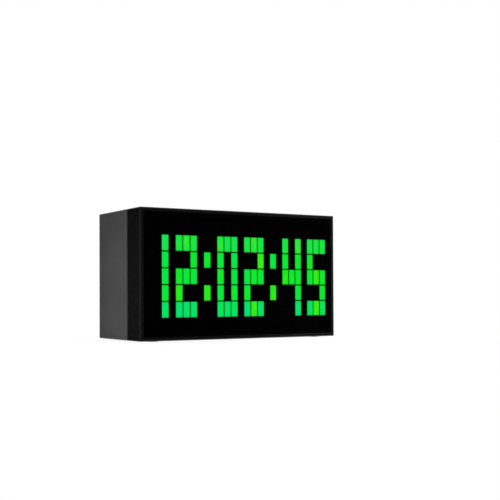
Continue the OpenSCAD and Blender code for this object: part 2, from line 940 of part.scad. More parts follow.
// Coin cell: a wide can and the narrower button of its other pole
module coin_cell() {
    color("silver")
        translate([bay_x, 0, z_bay])
            union() {
                bar(cell_r - 1.2, y_cell, y_cell + 0.5);
                bar(cell_r, y_cell + 0.4, y_cell_top);
            }
}

// Slice of a disc that spans this angle about the depth axis
module wedge(radius, angle, middle) {
    reach = radius / cos(angle / 2);
    translate([0, y_back, 0])
        rotate([90, 0, 0])
            linear_extrude(case_d)
                polygon([
                    [0, 0],
                    [reach * cos(middle - angle / 2), reach * sin(middle - angle / 2)],
                    [reach * cos(middle + angle / 2), reach * sin(middle + angle / 2)]
                ]);
}

// Battery cap: a disc with a coin slot, a hub that turns in the back wall, and
// two bayonet lugs under that wall
module battery_cap() {
    color([0.22, 0.22, 0.22])
        translate([bay_x, 0, z_bay])
            difference() {
                union() {
                    bar(cap_r - 0.15, y_cap, y_cap + cap_t);
                    bar(hub_r, y_hub, y_cap + 0.2);
                    for (side = [90, 270])
                        intersection() {
                            bar(hub_r + lug_out, y_lug_top - lug_t, y_lug_top);
                            wedge(hub_r + lug_out + 1, lug_angle, side);
                        }
                }
                bar(hub_r - 1.6, y_hub - cut, y_cap - 1.2);
                plate(coin_slot_l, coin_slot_w, y_cap + 0.2, y_back + cut, z = 0);
            }
}

// Power inlet standing on the main board, with its nose in the back wall
module dc_inlet() {
    color([0.07, 0.07, 0.07])
        translate([-inlet_x, 0, z_inlet])
            difference() {
                union() {
                    plate(jack_w, jack_w, y_main_back, y_wall_in - 0.2, z = 0);
                    bar(nose_r, y_wall_in - 1, y_back - 0.3);
                }
                bar(socket_r, y_back - 0.3 - socket_depth, y_back + cut);
                bar(pin_r, y_main_back + 1, y_back - socket_depth);
            }
}

// Centre pin of the power inlet
module dc_inlet_pin() {
    color("silver")
        bar(pin_r, y_main_back + 1, y_back - 2, -inlet_x, z_inlet);
}

// Rear case: four walls and a back, with the tray, keyholes, battery well, inlet
// hole, sound holes, bosses for the main board and tubes for the case screws
module rear_case() {
    color([0.27, 0.27, 0.27])
        difference() {
            union() {
                difference() {
                    casing_block(y_seam, y_back, seam_chamfer, edge_round);
                    plate(rear_in_w, rear_in_h, y_seam - cut, y_wall_in);
                    plate(
                        case_w - 2 * lap_skin, case_h - 2 * lap_skin,
                        y_seam - cut, y_seam + lap_len + 0.2
                    );
                }
                tray_pan();
                at_corners(tube_x, tube_z, z_mid)
                    bar(tube_r, y_seam, y_wall_in + 0.5);
                at_corners(main_screw_x, main_screw_z, z_main)
                    bar(boss_r, y_main_back, y_wall_in + 0.5);
                for (side = [-1, 1])
                    plate(
                        2 * (hang_r + pocket_gap + pocket_wall),
                        neck_len + hang_r + neck_r + 2 * (pocket_gap + pocket_wall),
                        y_wall_in - pocket_d - pocket_wall, y_wall_in + 0.5,
                        side * hang_pitch / 2, z_hang + (neck_len + neck_r - hang_r) / 2
                    );
                bar(well_r + 1.4, y_lug_top - lug_t - 1.6, y_wall_in + 0.5, bay_x, z_bay);
                case_ribs();
            }
            plate(tray_w, tray_h, y_tray, y_back + cut, z = z_tray, r = tray_round);
            for (x = button_x)
                bar(button_r + button_gap, y_tray_in - cut, y_back, x, z_tray);
            plate(
                switch_travel + lever_t + 0.8, lever_t + 0.8,
                y_tray_in - cut, y_back, switch_x, z_tray
            );
            at_corners(tube_x, tube_z, z_mid) {
                bar(case_screw_r + 0.2, y_seam - cut, y_screw_seat + cut);
                bar(head_hole_r, y_screw_seat, y_back + cut);
            }
            at_corners(main_screw_x, main_screw_z, z_main)
                bar(
                    board_screw_r + thread_gap, y_main_back - cut,
                    y_main_back + board_screw_bite + 0.5
                );
            for (side = [-1, 1])
                keyhole(side * hang_pitch / 2);
            battery_hole();
            bar(nose_r + 0.2, y_wall_in - cut, y_back + cut, -inlet_x, z_inlet);
            sound_holes();
            for (sx = [-1, 1])
                foot_hole(sx * (case_w / 2 - foot_in_x), y_back - foot_in_y);
        }
}

// Material round and under the sunk tray
module tray_pan() {
    plate(
        tray_w + 2 * tray_floor, tray_h + 2 * tray_floor,
        y_tray_in, y_wall_in + 0.5, z = z_tray, r = tray_round
    );
}

// Ribs that tie each screw tube to the side walls
module case_ribs() {
    y_rib = y_seam + lap_len + 2;
    for (sx = [-1, 1])
        for (sz = [-1, 1]) {
            plate(
                tube_in, rib_t, y_rib, y_wall_in + 0.5,
                sx * (case_w / 2 - tube_in / 2 - 0.8), z_mid + sz * tube_z
            );
            plate(
                rib_t, tube_in, y_rib, y_wall_in + 0.5,
                sx * tube_x, z_mid + sz * (case_h / 2 - tube_in / 2 - 0.8)
            );
        }
}

// Keyhole through the back wall, with the closed pocket behind it
module keyhole(x) {
    bar(hang_r, y_wall_in - cut, y_back + cut, x, z_hang);
    bar(neck_r, y_wall_in - cut, y_back + cut, x, z_hang + neck_len);
    plate(2 * neck_r, neck_len, y_wall_in - cut, y_back + cut, x, z_hang + neck_len / 2);
    plate(
        2 * (hang_r + pocket_gap), neck_len + hang_r + neck_r + 2 * pocket_gap,
        y_wall_in - pocket_d, y_wall_in, x, z_hang + (neck_len + neck_r - hang_r) / 2
    );
}

// Seat and hole for the battery cap, with two notches for its lugs
module battery_hole() {
    translate([bay_x, 0, z_bay]) {
        bar(cap_r, y_back - cap_seat, y_back + cut);
        bar(hub_r + hub_gap, y_wall_in - cut, y_back);
        bar(well_r, y_lug_top - lug_t - 2, y_wall_in);
        for (side = [90, 270])
            intersection() {
                bar(hub_r + lug_out + 0.2, y_wall_in - cut, y_back - cap_seat + 0.1);
                wedge(hub_r + lug_out + 1, lug_angle + 4, side - cap_turn);
            }
    }
}

// Seven sound holes over the buzzer
module sound_holes() {
    bar(sound_r, y_wall_in - cut, y_back + cut, buzzer_x, z_buzzer);
    for (a = [0:60:300])
        bar(
            sound_r, y_wall_in - cut, y_back + cut,
            buzzer_x + sound_ring_r * cos(a), z_buzzer + sound_ring_r * sin(a)
        );
}

// Four long screws that hold the rear case to the front frame
module case_screws() {
    color("silver")
        at_corners(tube_x, tube_z, z_mid)
            screw(case_screw_r, screw_grip + screw_bite, case_head_r, y_screw_seat, true);
}

// Four rubber feet in pockets of the casing's underside
module rubber_feet() {
    color([0.15, 0.15, 0.15])
        for (sx = [-1, 1])
            for (y = [y_front + foot_in_y, y_back - foot_in_y])
                translate([sx * (case_w / 2 - foot_in_x), y, 0])
                    cylinder(r = foot_r, h = foot_proud + foot_sunk);
}

front_frame();
front_lens();
lens_tape();
display_grid();
digit_windows(0);  // hour_tens_windows
digit_windows(1);  // hour_units_windows
digit_windows(2);  // minute_tens_windows
digit_windows(3);  // minute_units_windows
digit_windows(4);  // second_tens_windows
digit_windows(5);  // second_units_windows
colon_windows();
unlit_windows();
led_chips();
display_board();
display_screws();
driver_chips();
display_connector();
ribbon_cable();
main_connector();
main_board();
board_screws();
controller_chip();
crystal();
capacitors();
voltage_regulator();
buzzer();
push_switches();
button(0);  // mode_button
button(1);  // set_button
button(2);  // up_button
button(3);  // down_button
button(4);  // light_button
plunger(0);  // mode_plunger
plunger(1);  // set_plunger
plunger(2);  // up_plunger
plunger(3);  // down_plunger
plunger(4);  // light_plunger
alarm_switch_can();
alarm_switch_lever();
alarm_switch_knob();
cell_holder();
cell_contacts();
coin_cell();
battery_cap();
dc_inlet();
dc_inlet_pin();
rear_case();
case_screws();
rubber_feet();
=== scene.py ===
"""Looks of a large-digit clock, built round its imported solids.

The frame is that of the solids, in metres: +X to the viewer's right, the lens
towards -Y, +Z up, and the feet on the plane Z = 0. Sizes and places of the clock's
pieces are written in millimetres, and those of the floor and lamps in metres.
"""
import math

import bpy
import numpy as np
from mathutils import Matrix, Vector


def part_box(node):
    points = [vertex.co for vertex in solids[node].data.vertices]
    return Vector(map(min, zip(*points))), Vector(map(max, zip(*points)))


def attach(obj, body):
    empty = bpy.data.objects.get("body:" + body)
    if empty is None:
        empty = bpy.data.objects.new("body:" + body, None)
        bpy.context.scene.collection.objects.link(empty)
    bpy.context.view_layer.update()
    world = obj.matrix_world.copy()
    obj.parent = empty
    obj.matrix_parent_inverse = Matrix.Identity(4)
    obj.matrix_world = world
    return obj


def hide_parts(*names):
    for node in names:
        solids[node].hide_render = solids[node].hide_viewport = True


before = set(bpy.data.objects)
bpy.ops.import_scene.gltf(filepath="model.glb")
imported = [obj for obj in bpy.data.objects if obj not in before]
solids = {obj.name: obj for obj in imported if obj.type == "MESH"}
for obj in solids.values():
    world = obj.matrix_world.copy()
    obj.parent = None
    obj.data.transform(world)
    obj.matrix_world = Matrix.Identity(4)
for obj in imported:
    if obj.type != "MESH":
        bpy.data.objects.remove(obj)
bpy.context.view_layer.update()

# Rear case. One injection moulding of dark grey ABS: four walls and a back. Its tool was
# spark eroded, which leaves a fine even grain that scatters light, so the sides look soft
# grey although the plastic is nearly black. That soft grey is painted into its colour as a
# painted sheen. Its edges are paler, partly from rubbing and partly a painted highlight.
MM = 0.001


def linear(hex_colour):
    """Linear RGBA of an sRGB colour written as #rrggbb."""
    srgb = np.array([int(hex_colour[i:i + 2], 16) for i in (1, 3, 5)]) / 255
    light = np.where(srgb <= 0.04045, srgb / 12.92, ((srgb + 0.055) / 1.055) ** 2.4)
    return (*light.tolist(), 1.0)


def put(material, kind, inputs=None, **settings):
    """Adds one node. Settings go on the node, and each input takes a value or a link."""
    made = material.node_tree.nodes.new("ShaderNode" + kind)
    for name, value in settings.items():
        setattr(made, name, value)
    for name, value in (inputs or {}).items():
        if isinstance(value, bpy.types.NodeSocket):
            material.node_tree.links.new(value, made.inputs[name])
        else:
            made.inputs[name].default_value = value
    return made


def new_finish(name):
    """An empty node material."""
    material = bpy.data.materials.new(name)
    material.use_nodes = True
    material.node_tree.nodes.clear()
    return material


def close_finish(material, shader):
    """Joins the shader to the material's output."""
    put(material, "OutputMaterial", {"Surface": shader.outputs[0]})
    return material


def per_mm(size):
    """Texture scale at which one feature is about this many millimetres wide."""
    return 1 / (size * MM)


def dress(material, *names):
    """Gives solids this finish."""
    for name in names:
        solids[name].data.materials.clear()
        solids[name].data.materials.append(material)


def edge_rub_and_highlight(material, place, centre, half, reach):
    """1 along the edges of a box and 0 away from them.

    Each axis rises to 1 within reach of its two faces; the pairwise products add up.
    """
    offset = put(material, "VectorMath", {0: place, 1: centre}, operation="SUBTRACT")
    away = put(material, "VectorMath", {0: offset.outputs[0]}, operation="ABSOLUTE")
    near = put(
        material, "MapRange",
        {
            "Vector": away.outputs[0],
            7: [h - reach for h in half], 8: half,
            9: (0, 0, 0), 10: (1, 1, 1),
        },
        data_type="FLOAT_VECTOR", interpolation_type="SMOOTHSTEP",
    )
    x, y, z = put(material, "SeparateXYZ", {0: near.outputs["Vector"]}).outputs
    xy = put(material, "Math", {0: x, 1: y}, operation="MULTIPLY").outputs[0]
    yz = put(material, "Math", {0: y, 1: z}, operation="MULTIPLY").outputs[0]
    xyz = put(material, "Math", {0: z, 1: x, 2: xy}, operation="MULTIPLY_ADD").outputs[0]
    return put(material, "Math", {0: yz, 1: xyz}, operation="ADD", use_clamp=True).outputs[0]


RUB_AND_HIGHLIGHT_WIDTH = 1.3
case_low, case_high = (np.array(c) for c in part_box("rear_case"))
frame_low, frame_high = (np.array(c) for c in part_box("front_frame"))
body_low, body_high = np.minimum(case_low, frame_low), np.maximum(case_high, frame_high)


def grained_abs(name, dark, light, rubbed_and_lit):
    """Spark-eroded ABS: craters 0.3 mm wide, drawn 1 mm wide so that they show.

    The casing's outer edges turn to a paler colour in patches 4 mm wide: wear from rubbing, and a
    painted edge highlight.
    """
    material = new_finish(name)
    place = put(material, "TexCoord").outputs["Object"]
    grain = put(
        material, "TexNoise",
        {"Vector": place, "Scale": per_mm(1.0), "Detail": 4.0, "Roughness": 0.7},
    ).outputs[0]
    craters = put(material, "TexVoronoi", {"Vector": place, "Scale": per_mm(1.3)}).outputs[0]
    relief = put(
        material, "Math", {0: craters, 1: 0.6, 2: grain}, operation="MULTIPLY_ADD"
    ).outputs[0]
    flow = put(
        material, "TexNoise",
        {"Vector": place, "Scale": per_mm(26), "Detail": 2.0, "Roughness": 0.5},
    ).outputs[0]
    mixed = put(
        material, "Math", {0: flow, 1: 0.15, 2: grain}, operation="MULTIPLY_ADD"
    ).outputs[0]
    tone = put(material, "MapRange", {0: mixed, 1: 0.39, 2: 0.76}).outputs[0]
    plastic = put(
        material, "Mix", {0: tone, 6: linear(dark), 7: linear(light)}, data_type="RGBA"
    ).outputs[2]
    # Paler edges: partly wear from rubbing, partly a painted highlight.
    rub_and_highlight = edge_rub_and_highlight(
        material, place, ((body_low + body_high) / 2).tolist(),
        ((body_high - body_low) / 2).tolist(), RUB_AND_HIGHLIGHT_WIDTH * MM,
    )
    patch_noise = put(
        material, "TexNoise", {"Vector": place, "Scale": per_mm(4), "Detail": 3.0}
    ).outputs[0]
    patch_level = put(material, "MapRange", {0: patch_noise, 1: 0.35, 2: 0.7, 3: 0.25, 4: 0.85}).outputs[0]
    patchy_rub_and_highlight = put(material, "Math", {0: rub_and_highlight, 1: patch_level}, operation="MULTIPLY").outputs[0]
    colour = put(
        material, "Mix", {0: patchy_rub_and_highlight, 6: plastic, 7: linear(rubbed_and_lit)}, data_type="RGBA"
    ).outputs[2]
    rough = put(material, "MapRange", {0: grain, 1: 0.3, 2: 0.7, 3: 0.50, 4: 0.66}).outputs[0]
    bump = put(material, "Bump", {"Height": relief, "Distance": 0.05 * MM, "Strength": 0.8})
    return close_finish(material, put(
        material, "BsdfPrincipled",
        {
            "Base Color": colour, "Roughness": rough, "IOR": 1.53,
            "Specular IOR Level": 0.3, "Normal": bump.outputs[0],
        },
    ))


# The case's colour is lighter than its nearly black plastic: a painted sheen for the light its grain
# scatters.
grey_case_abs_painted_sheen = grained_abs("spark_eroded_grey_abs_painted_sheen", "#202020", "#434343", "#605e5c")
dress(grey_case_abs_painted_sheen, "rear_case")

# Circuit boards. Both boards are glass-epoxy laminate, FR4, 1.6 mm thick, routed to shape.
# The green solder mask lies over copper tracks, which show as paler raised paths between
# bare green; the main board is screwed to four bosses of the rear case.


def circuit_board(name, turn):
    """FR4 with tracks 0.4 mm wide: joints of a brick pattern, where a noise is high."""
    material = new_finish(name)
    place = put(material, "TexCoord").outputs["Object"]
    flat = put(
        material, "Mapping", {"Vector": place, "Rotation": (math.pi / 2, 0, turn)}
    ).outputs[0]
    tracks = put(
        material, "TexBrick",
        {
            "Vector": flat, "Scale": 1.0, "Mortar Size": 0.2 * MM, "Mortar Smooth": 0.2,
            "Brick Width": 9 * MM, "Row Height": 1.6 * MM,
            "Color1": (0, 0, 0, 1), "Color2": (0, 0, 0, 1), "Mortar": (1, 1, 1, 1),
        },
        offset=0.37,
    ).outputs["Fac"]
    drift = put(material, "TexNoise", {"Vector": place, "Scale": per_mm(14), "Detail": 2.0}).outputs[0]
    shown = put(material, "MapRange", {0: drift, 1: 0.45, 2: 0.5}).outputs[0]
    copper = put(material, "Math", {0: tracks, 1: shown}, operation="MULTIPLY").outputs[0]
    mask = put(
        material, "Mix", {0: drift, 6: linear("#0b3318"), 7: linear("#114522")},
        data_type="RGBA",
    ).outputs[2]
    colour = put(
        material, "Mix", {0: copper, 6: mask, 7: linear("#2c7440")}, data_type="RGBA"
    ).outputs[2]
    bump = put(material, "Bump", {"Height": copper, "Distance": 0.04 * MM})
    return close_finish(material, put(
        material, "BsdfPrincipled",
        {"Base Color": colour, "Roughness": 0.32, "IOR": 1.5, "Normal": bump.outputs[0]},
    ))


dress(circuit_board("fr4_green_solder_mask", 0.0), "main_board")

# Chips, regulator and buzzer. Black epoxy bodies moulded round a lead frame, and a buzzer in
# a shell of black PPS, all soldered to the boards. Moulding leaves a fine matt grain, and
# none of them carries marks.


def moulding_compound(name, dark, light, rough):
    """Filled epoxy, phenolic or nylon: matt, with 0.25 mm grain, drawn 0.5 mm to show."""
    material = new_finish(name)
    place = put(material, "TexCoord").outputs["Object"]
    grain = put(
        material, "TexNoise", {"Vector": place, "Scale": per_mm(0.5), "Detail": 3.0}
    ).outputs[0]
    bump = put(material, "Bump", {"Height": grain, "Distance": 0.015 * MM})
    colour = put(
        material, "Mix", {0: grain, 6: linear(dark), 7: linear(light)}, data_type="RGBA"
    ).outputs[2]
    return close_finish(material, put(
        material, "BsdfPrincipled",
        {"Base Color": colour, "Roughness": rough, "Normal": bump.outputs[0]},
    ))


epoxy = moulding_compound("black_epoxy_moulding_compound", "#131314", "#1f1f20", 0.55)
dress(epoxy, "driver_chips", "controller_chip", "voltage_regulator")
dress(moulding_compound("black_pps_buzzer_shell", "#101011", "#19191a", 0.38), "buzzer")

# Crystal and capacitors. The crystal sits in a drawn nickel-silver can, brushed along its
# length by the drawing die. The capacitors are aluminium cans in a shrunk sleeve of dark
# blue PVC, standing on the board.


def drawn_metal(name, dark, light, rough, grain_mm, along):
    """Bare or plated metal: its drawing marks are noise stretched 17 times one way."""
    material = new_finish(name)
    place = put(material, "TexCoord").outputs["Object"]
    stretch = [1.0, 1.0, 1.0]
    stretch[along] = 0.06
    marks_at = put(material, "Mapping", {"Vector": place, "Scale": stretch}).outputs[0]
    marks = put(
        material, "TexNoise", {"Vector": marks_at, "Scale": per_mm(grain_mm), "Detail": 3.0}
    ).outputs[0]
    shine = put(
        material, "MapRange", {0: marks, 1: 0.3, 2: 0.7, 3: rough - 0.06, 4: rough + 0.08}
    ).outputs[0]
    bump = put(material, "Bump", {"Height": marks, "Distance": 0.008 * MM})
    colour = put(
        material, "Mix", {0: marks, 6: linear(dark), 7: linear(light)}, data_type="RGBA"
    ).outputs[2]
    return close_finish(material, put(
        material, "BsdfPrincipled",
        {
            "Base Color": colour, "Metallic": 1.0, "Roughness": shine,
            "Normal": bump.outputs[0],
        },
    ))


def rippled_plastic(name, dark, light, rough, ripple_mm):
    """Shrunk or moulded plastic: smooth, with the soft ripple that cooling leaves."""
    material = new_finish(name)
    place = put(material, "TexCoord").outputs["Object"]
    ripple = put(
        material, "TexNoise", {"Vector": place, "Scale": per_mm(ripple_mm), "Detail": 1.0}
    ).outputs[0]
    bump = put(material, "Bump", {"Height": ripple, "Distance": 0.06 * MM})
    colour = put(
        material, "Mix", {0: ripple, 6: linear(dark), 7: linear(light)}, data_type="RGBA"
    ).outputs[2]
    return close_finish(material, put(
        material, "BsdfPrincipled",
        {"Base Color": colour, "Roughness": rough, "IOR": 1.53, "Normal": bump.outputs[0]},
    ))


dress(drawn_metal("drawn_nickel_silver", "#a9a69f", "#c6c3bc", 0.28, 0.3, 0), "crystal")
dress(rippled_plastic("dark_blue_shrink_pvc", "#141c38", "#1d2749", 0.3, 2.5), "capacitors")

# Push switches and plungers. Five push switches with phenolic bodies, soldered behind the
# buttons. Each plunger is turned from white acetal, and a sprung dome pushes it back out.
dress(moulding_compound("black_phenolic_switch_body", "#161616", "#232323", 0.5), "push_switches")
acetal = rippled_plastic("white_acetal", "#cfcec8", "#dddcd6", 0.35, 1.2)
BUTTONS = ("mode", "set", "up", "down", "light")
dress(acetal, *(f"{button}_plunger" for button in BUTTONS))

# Buttons. Five round buttons of black ABS, moulded smooth and satin. A flange keeps each
# one behind the tray's floor, a stem meets the plunger, and the face is dished for a
# fingertip. They slide straight in along the depth.


def satin_abs(name, dark, light, rough):
    """Lightly blasted ABS: 0.4 mm grain, drawn 0.6 mm, under handling smears."""
    material = new_finish(name)
    place = put(material, "TexCoord").outputs["Object"]
    grain = put(
        material, "TexNoise", {"Vector": place, "Scale": per_mm(0.6), "Detail": 2.0}
    ).outputs[0]
    smears = put(
        material, "TexNoise", {"Vector": place, "Scale": per_mm(7), "Detail": 2.0, "Distortion": 0.6}
    ).outputs[0]
    shine = put(
        material, "MapRange", {0: smears, 1: 0.35, 2: 0.65, 3: rough - 0.05, 4: rough + 0.07}
    ).outputs[0]
    bump = put(material, "Bump", {"Height": grain, "Distance": 0.012 * MM})
    colour = put(
        material, "Mix", {0: smears, 6: linear(dark), 7: linear(light)}, data_type="RGBA"
    ).outputs[2]
    return close_finish(material, put(
        material, "BsdfPrincipled",
        {"Base Color": colour, "Roughness": shine, "IOR": 1.53, "Normal": bump.outputs[0]},
    ))


def arc(centre, radius, start, end, steps=7):
    """Points of a circle's arc in the profile plane; angles in degrees."""
    a = np.radians(np.linspace(start, end, steps))
    return np.stack([centre[0] + radius * np.cos(a), centre[1] + radius * np.sin(a)], 1)


def skin(rings, around, clockwise=False):
    """Faces of stacked rings of points, closed by the two end points after them.

    Point j of ring i has number i * around + j. Quads join each ring to the next,
    and triangles join the first and last ring to their end points. Seen from the
    last end, the rings run anticlockwise, or else they are called clockwise.
    """
    j, k = np.arange(around), (np.arange(around) + 1) % around
    rows = (np.arange(rings - 1) * around)[:, None]
    last_ring, first_end = (rings - 1) * around, rings * around
    walls = np.stack([rows + j, rows + k, rows + around + k, rows + around + j], -1).reshape(-1, 4)
    first = np.stack([k, j, np.full(around, first_end)], 1)
    last = np.stack([last_ring + j, last_ring + k, np.full(around, first_end + 1)], 1)
    if clockwise:
        walls, first, last = walls[:, [0, 3, 2, 1]], first[:, [1, 0, 2]], last[:, [1, 0, 2]]
    return walls.tolist() + first.tolist() + last.tolist()


def turned(profile, centre, axis, around=56):
    """Closed surface of revolution about one axis through centre.

    Point (i, j) is the axis point at height_i plus radius_i times the unit
    circle at angle 2 pi j / around. The profile's two ends lie on the axis and
    are single points. Sizes are in millimetres.
    """
    ring = profile[1:-1]
    a = 2 * np.pi * np.arange(around) / around
    u, v = (axis + 1) % 3, (axis + 2) % 3
    points = np.zeros((len(ring), around, 3))
    points[:, :, axis] = ring[:, 1, None]
    points[:, :, u] = ring[:, 0, None] * np.cos(a)
    points[:, :, v] = ring[:, 0, None] * np.sin(a)
    ends = np.zeros((2, 3))
    ends[:, axis] = profile[[0, -1], 1]
    verts = np.concatenate([points.reshape(-1, 3), ends]) + np.array(centre)
    return verts * MM, skin(len(ring), around)


def join(parts):
    """Several (points, faces) as one, with the later faces renumbered."""
    points, faces, start = [], [], 0
    for part_points, part_faces in parts:
        points.append(part_points)
        faces += [[start + i for i in face] for face in part_faces]
        start += len(part_points)
    return np.concatenate(points), faces


def middle_of(name):
    """Middle of a solid's box, in millimetres."""
    low, high = (np.array(corner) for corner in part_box(name))
    return (low + high) / 2 / MM


def piece(name, surface, material, body, smooth=40):
    """Makes a surface an object that rides on a body, smooth below this angle."""
    points, faces = surface
    mesh = bpy.data.meshes.new(name)
    mesh.from_pydata(points.tolist(), [], faces)
    mesh.validate()
    mesh.materials.append(material)
    made = bpy.data.objects.new(name, mesh)
    bpy.context.scene.collection.objects.link(made)
    mesh.polygons.foreach_set("use_smooth", [True] * len(mesh.polygons))
    mesh.set_sharp_from_angle(angle=math.radians(smooth))
    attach(made, body)
    return made


button_abs = satin_abs("satin_black_abs", "#0f0f10", "#171718", 0.34)
STEM_R, STEM_CHAMFER = 2.05, 0.2
FLANGE_IN, FLANGE_OUT = 37.0, 38.5
FLANGE_R, FLANGE_ROUND = 5.0, 0.15
BUTTON_R, FACE_ROUND = 4.0, 0.5
DISH_R, DISH_DEPTH = 3.1, 0.35
stem_end, button_face = (corner[1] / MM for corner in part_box("mode_button"))
flange_edge = FLANGE_R - FLANGE_ROUND
dish_r = np.linspace(DISH_R, 0.0, 9)
dish_depth = DISH_DEPTH * (1 + np.cos(np.pi * dish_r / DISH_R)) / 2
button_profile = np.concatenate([
    [[0, stem_end], [STEM_R - STEM_CHAMFER, stem_end], [STEM_R, stem_end + STEM_CHAMFER]],
    [[STEM_R, FLANGE_IN], [flange_edge, FLANGE_IN]],
    arc((flange_edge, FLANGE_IN + FLANGE_ROUND), FLANGE_ROUND, -60, 0, 3),
    [[FLANGE_R, FLANGE_OUT - FLANGE_ROUND]],
    arc((flange_edge, FLANGE_OUT - FLANGE_ROUND), FLANGE_ROUND, 30, 90, 3),
    [[BUTTON_R, FLANGE_OUT]],
    arc((BUTTON_R - FACE_ROUND, button_face - FACE_ROUND), FACE_ROUND, 0, 90),
    np.stack([dish_r, button_face - dish_depth], 1),
])
for button in BUTTONS:
    button_x, _, button_z = middle_of(f"{button}_button")
    cap = piece(
        f"{button}_button_cap", turned(button_profile, (button_x, 0, button_z), 1), button_abs,
        f"{button}_push",
    )
    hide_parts(f"{button}_button")

# Alarm switch. A small slide switch on the main board: a folded can of tinned steel, a
# lever of black nylon that slides along its slot, and a ribbed ABS knob pressed on it.
dress(drawn_metal("tinned_steel", "#b4b5b6", "#cdced0", 0.24, 0.5, 2), "alarm_switch_can")
dress(moulding_compound("black_nylon_lever", "#1b1b1c", "#29292a", 0.45), "alarm_switch_lever")
dress(button_abs, "alarm_switch_knob")

# Backup cell. A lithium coin cell in a nickel-plated steel can, lying on a sprung brass
# strip in a holder of black nylon that is soldered to the main board.


def plated_disc(name, middle):
    """Nickel plating with the rings that turning the die leaves, 0.25 mm apart."""
    material = new_finish(name)
    place = put(material, "TexCoord").outputs["Object"]
    centred = put(
        material, "VectorMath", {0: place, 1: middle}, operation="SUBTRACT"
    ).outputs[0]
    across = put(
        material, "VectorMath", {0: centred, 1: (1, 0, 1)}, operation="MULTIPLY"
    ).outputs[0]
    reach = put(material, "VectorMath", {0: across}, operation="LENGTH").outputs["Value"]
    ring = put(
        material, "Math", {0: reach, 1: 2 * math.pi * per_mm(0.25)}, operation="MULTIPLY"
    ).outputs[0]
    rings = put(material, "Math", {0: ring}, operation="SINE").outputs[0]
    shine = put(material, "MapRange", {0: rings, 1: -1.0, 2: 1.0, 3: 0.2, 4: 0.3}).outputs[0]
    level = put(material, "MapRange", {0: rings, 1: -1.0, 2: 1.0}).outputs[0]
    bump = put(material, "Bump", {"Height": level, "Distance": 0.004 * MM})
    colour = put(
        material, "Mix", {0: level, 6: linear("#bdbab2"), 7: linear("#d2cfc7")},
        data_type="RGBA",
    ).outputs[2]
    return close_finish(material, put(
        material, "BsdfPrincipled",
        {
            "Base Color": colour, "Metallic": 1.0, "Roughness": shine,
            "Normal": bump.outputs[0],
        },
    ))


cell_low, cell_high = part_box("coin_cell")
dress(plated_disc("nickel_plated_steel", list((cell_low + cell_high) / 2)), "coin_cell")
dress(drawn_metal("rolled_brass", "#a9853c", "#c8a352", 0.26, 0.4, 2), "cell_contacts")
dress(moulding_compound("black_nylon_holder", "#121213", "#1c1c1d", 0.42), "cell_holder")

# Battery cap. A round cap of the same grained grey ABS as the case, with a slot for a coin.
# Two lugs under the back wall hold it, and a turn of 50 degrees frees it. A low pointer
# moulded on its face shows the turn, pale from the foil pressed on it.
# The cap's colour carries the same painted sheen as the case.
dress(grey_case_abs_painted_sheen, "battery_cap")


def raised(outline, low, high, draft=0.08):
    """Closed low relief on a wall that faces +Y, from a convex outline (x, z).

    Ring k is the outline pulled towards its middle by its own inset, at its own
    depth: the foot, the shoulder and the top. The middle point closes each end.
    """
    outline = np.array(outline, float)
    middle = outline.mean(0)
    from_middle = outline - middle
    reach = np.linalg.norm(from_middle, axis=1).min()
    shrink = np.array([1.0, 1 - draft / reach, 1 - 2 * draft / reach])
    depth = np.array([low, high - draft, high])
    flat = middle + from_middle[None] * shrink[:, None, None]
    count = len(outline)
    points = np.stack(
        [flat[:, :, 0], np.repeat(depth[:, None], count, 1), flat[:, :, 1]], -1
    ).reshape(-1, 3)
    ends = np.array([[middle[0], low, middle[1]], [middle[0], high, middle[1]]])
    return np.concatenate([points, ends]) * MM, skin(len(depth), count, clockwise=True)


def raised_ring(outer, inner, x, z, low, high, draft=0.06, around=40):
    """Closed ring in low relief on a wall that faces +Y, about (x, z).

    Point (i, j) is corner i of the ring's cross-section, a (radius, depth) pair,
    turned by the angle 2 pi j / around; both counts close on themselves.
    """
    section = np.array([
        [outer, low], [outer, high - draft], [outer - draft, high],
        [inner + draft, high], [inner, high - draft], [inner, low],
    ])
    a = 2 * np.pi * np.arange(around) / around
    points = np.stack([
        x + section[:, :1] * np.cos(a), np.repeat(section[:, 1:], around, 1),
        z + section[:, :1] * np.sin(a),
    ], -1).reshape(-1, 3)
    i, j = np.arange(len(section))[:, None], np.arange(around)
    here, there = i * around, (i + 1) % len(section) * around
    k = (j + 1) % around
    walls = np.stack([here + j, there + j, there + k, here + k], -1).reshape(-1, 4)
    return points * MM, walls.tolist()


def regular(sides, radius, x, z, turn=90):
    """Corners of a regular outline about (x, z), the first at this angle."""
    a = np.radians(turn + 360 * np.arange(sides) / sides)
    return np.stack([x + radius * np.cos(a), z + radius * np.sin(a)], 1)


def strip(length, width, x, z, angle=0):
    """Corners of a thin bar about (x, z), turned by this angle in degrees."""
    a = math.radians(angle)
    along = np.array([math.cos(a), math.sin(a)]) * length / 2
    across = np.array([-math.sin(a), math.cos(a)]) * width / 2
    centre = np.array([x, z])
    return [centre - along - across, centre + along - across,
            centre + along + across, centre - along + across]


case_mark_abs = grained_abs("foiled_grey_abs", "#8e8e8b", "#a4a4a0", "#a8a8a4")
SIGN_SINK = 0.1
POINTER_R, POINTER_OUT, POINTER_RISE = 1.2, 12.6, 0.18
cap_x, _, cap_z = middle_of("battery_cap")
cap_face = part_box("battery_cap")[1][1] / MM
pointer = regular(3, POINTER_R, cap_x, cap_z + POINTER_OUT)
piece(
    "cap_pointer", raised(pointer, cap_face - SIGN_SINK, cap_face + POINTER_RISE),
    case_mark_abs, "battery_cover", 20,
)

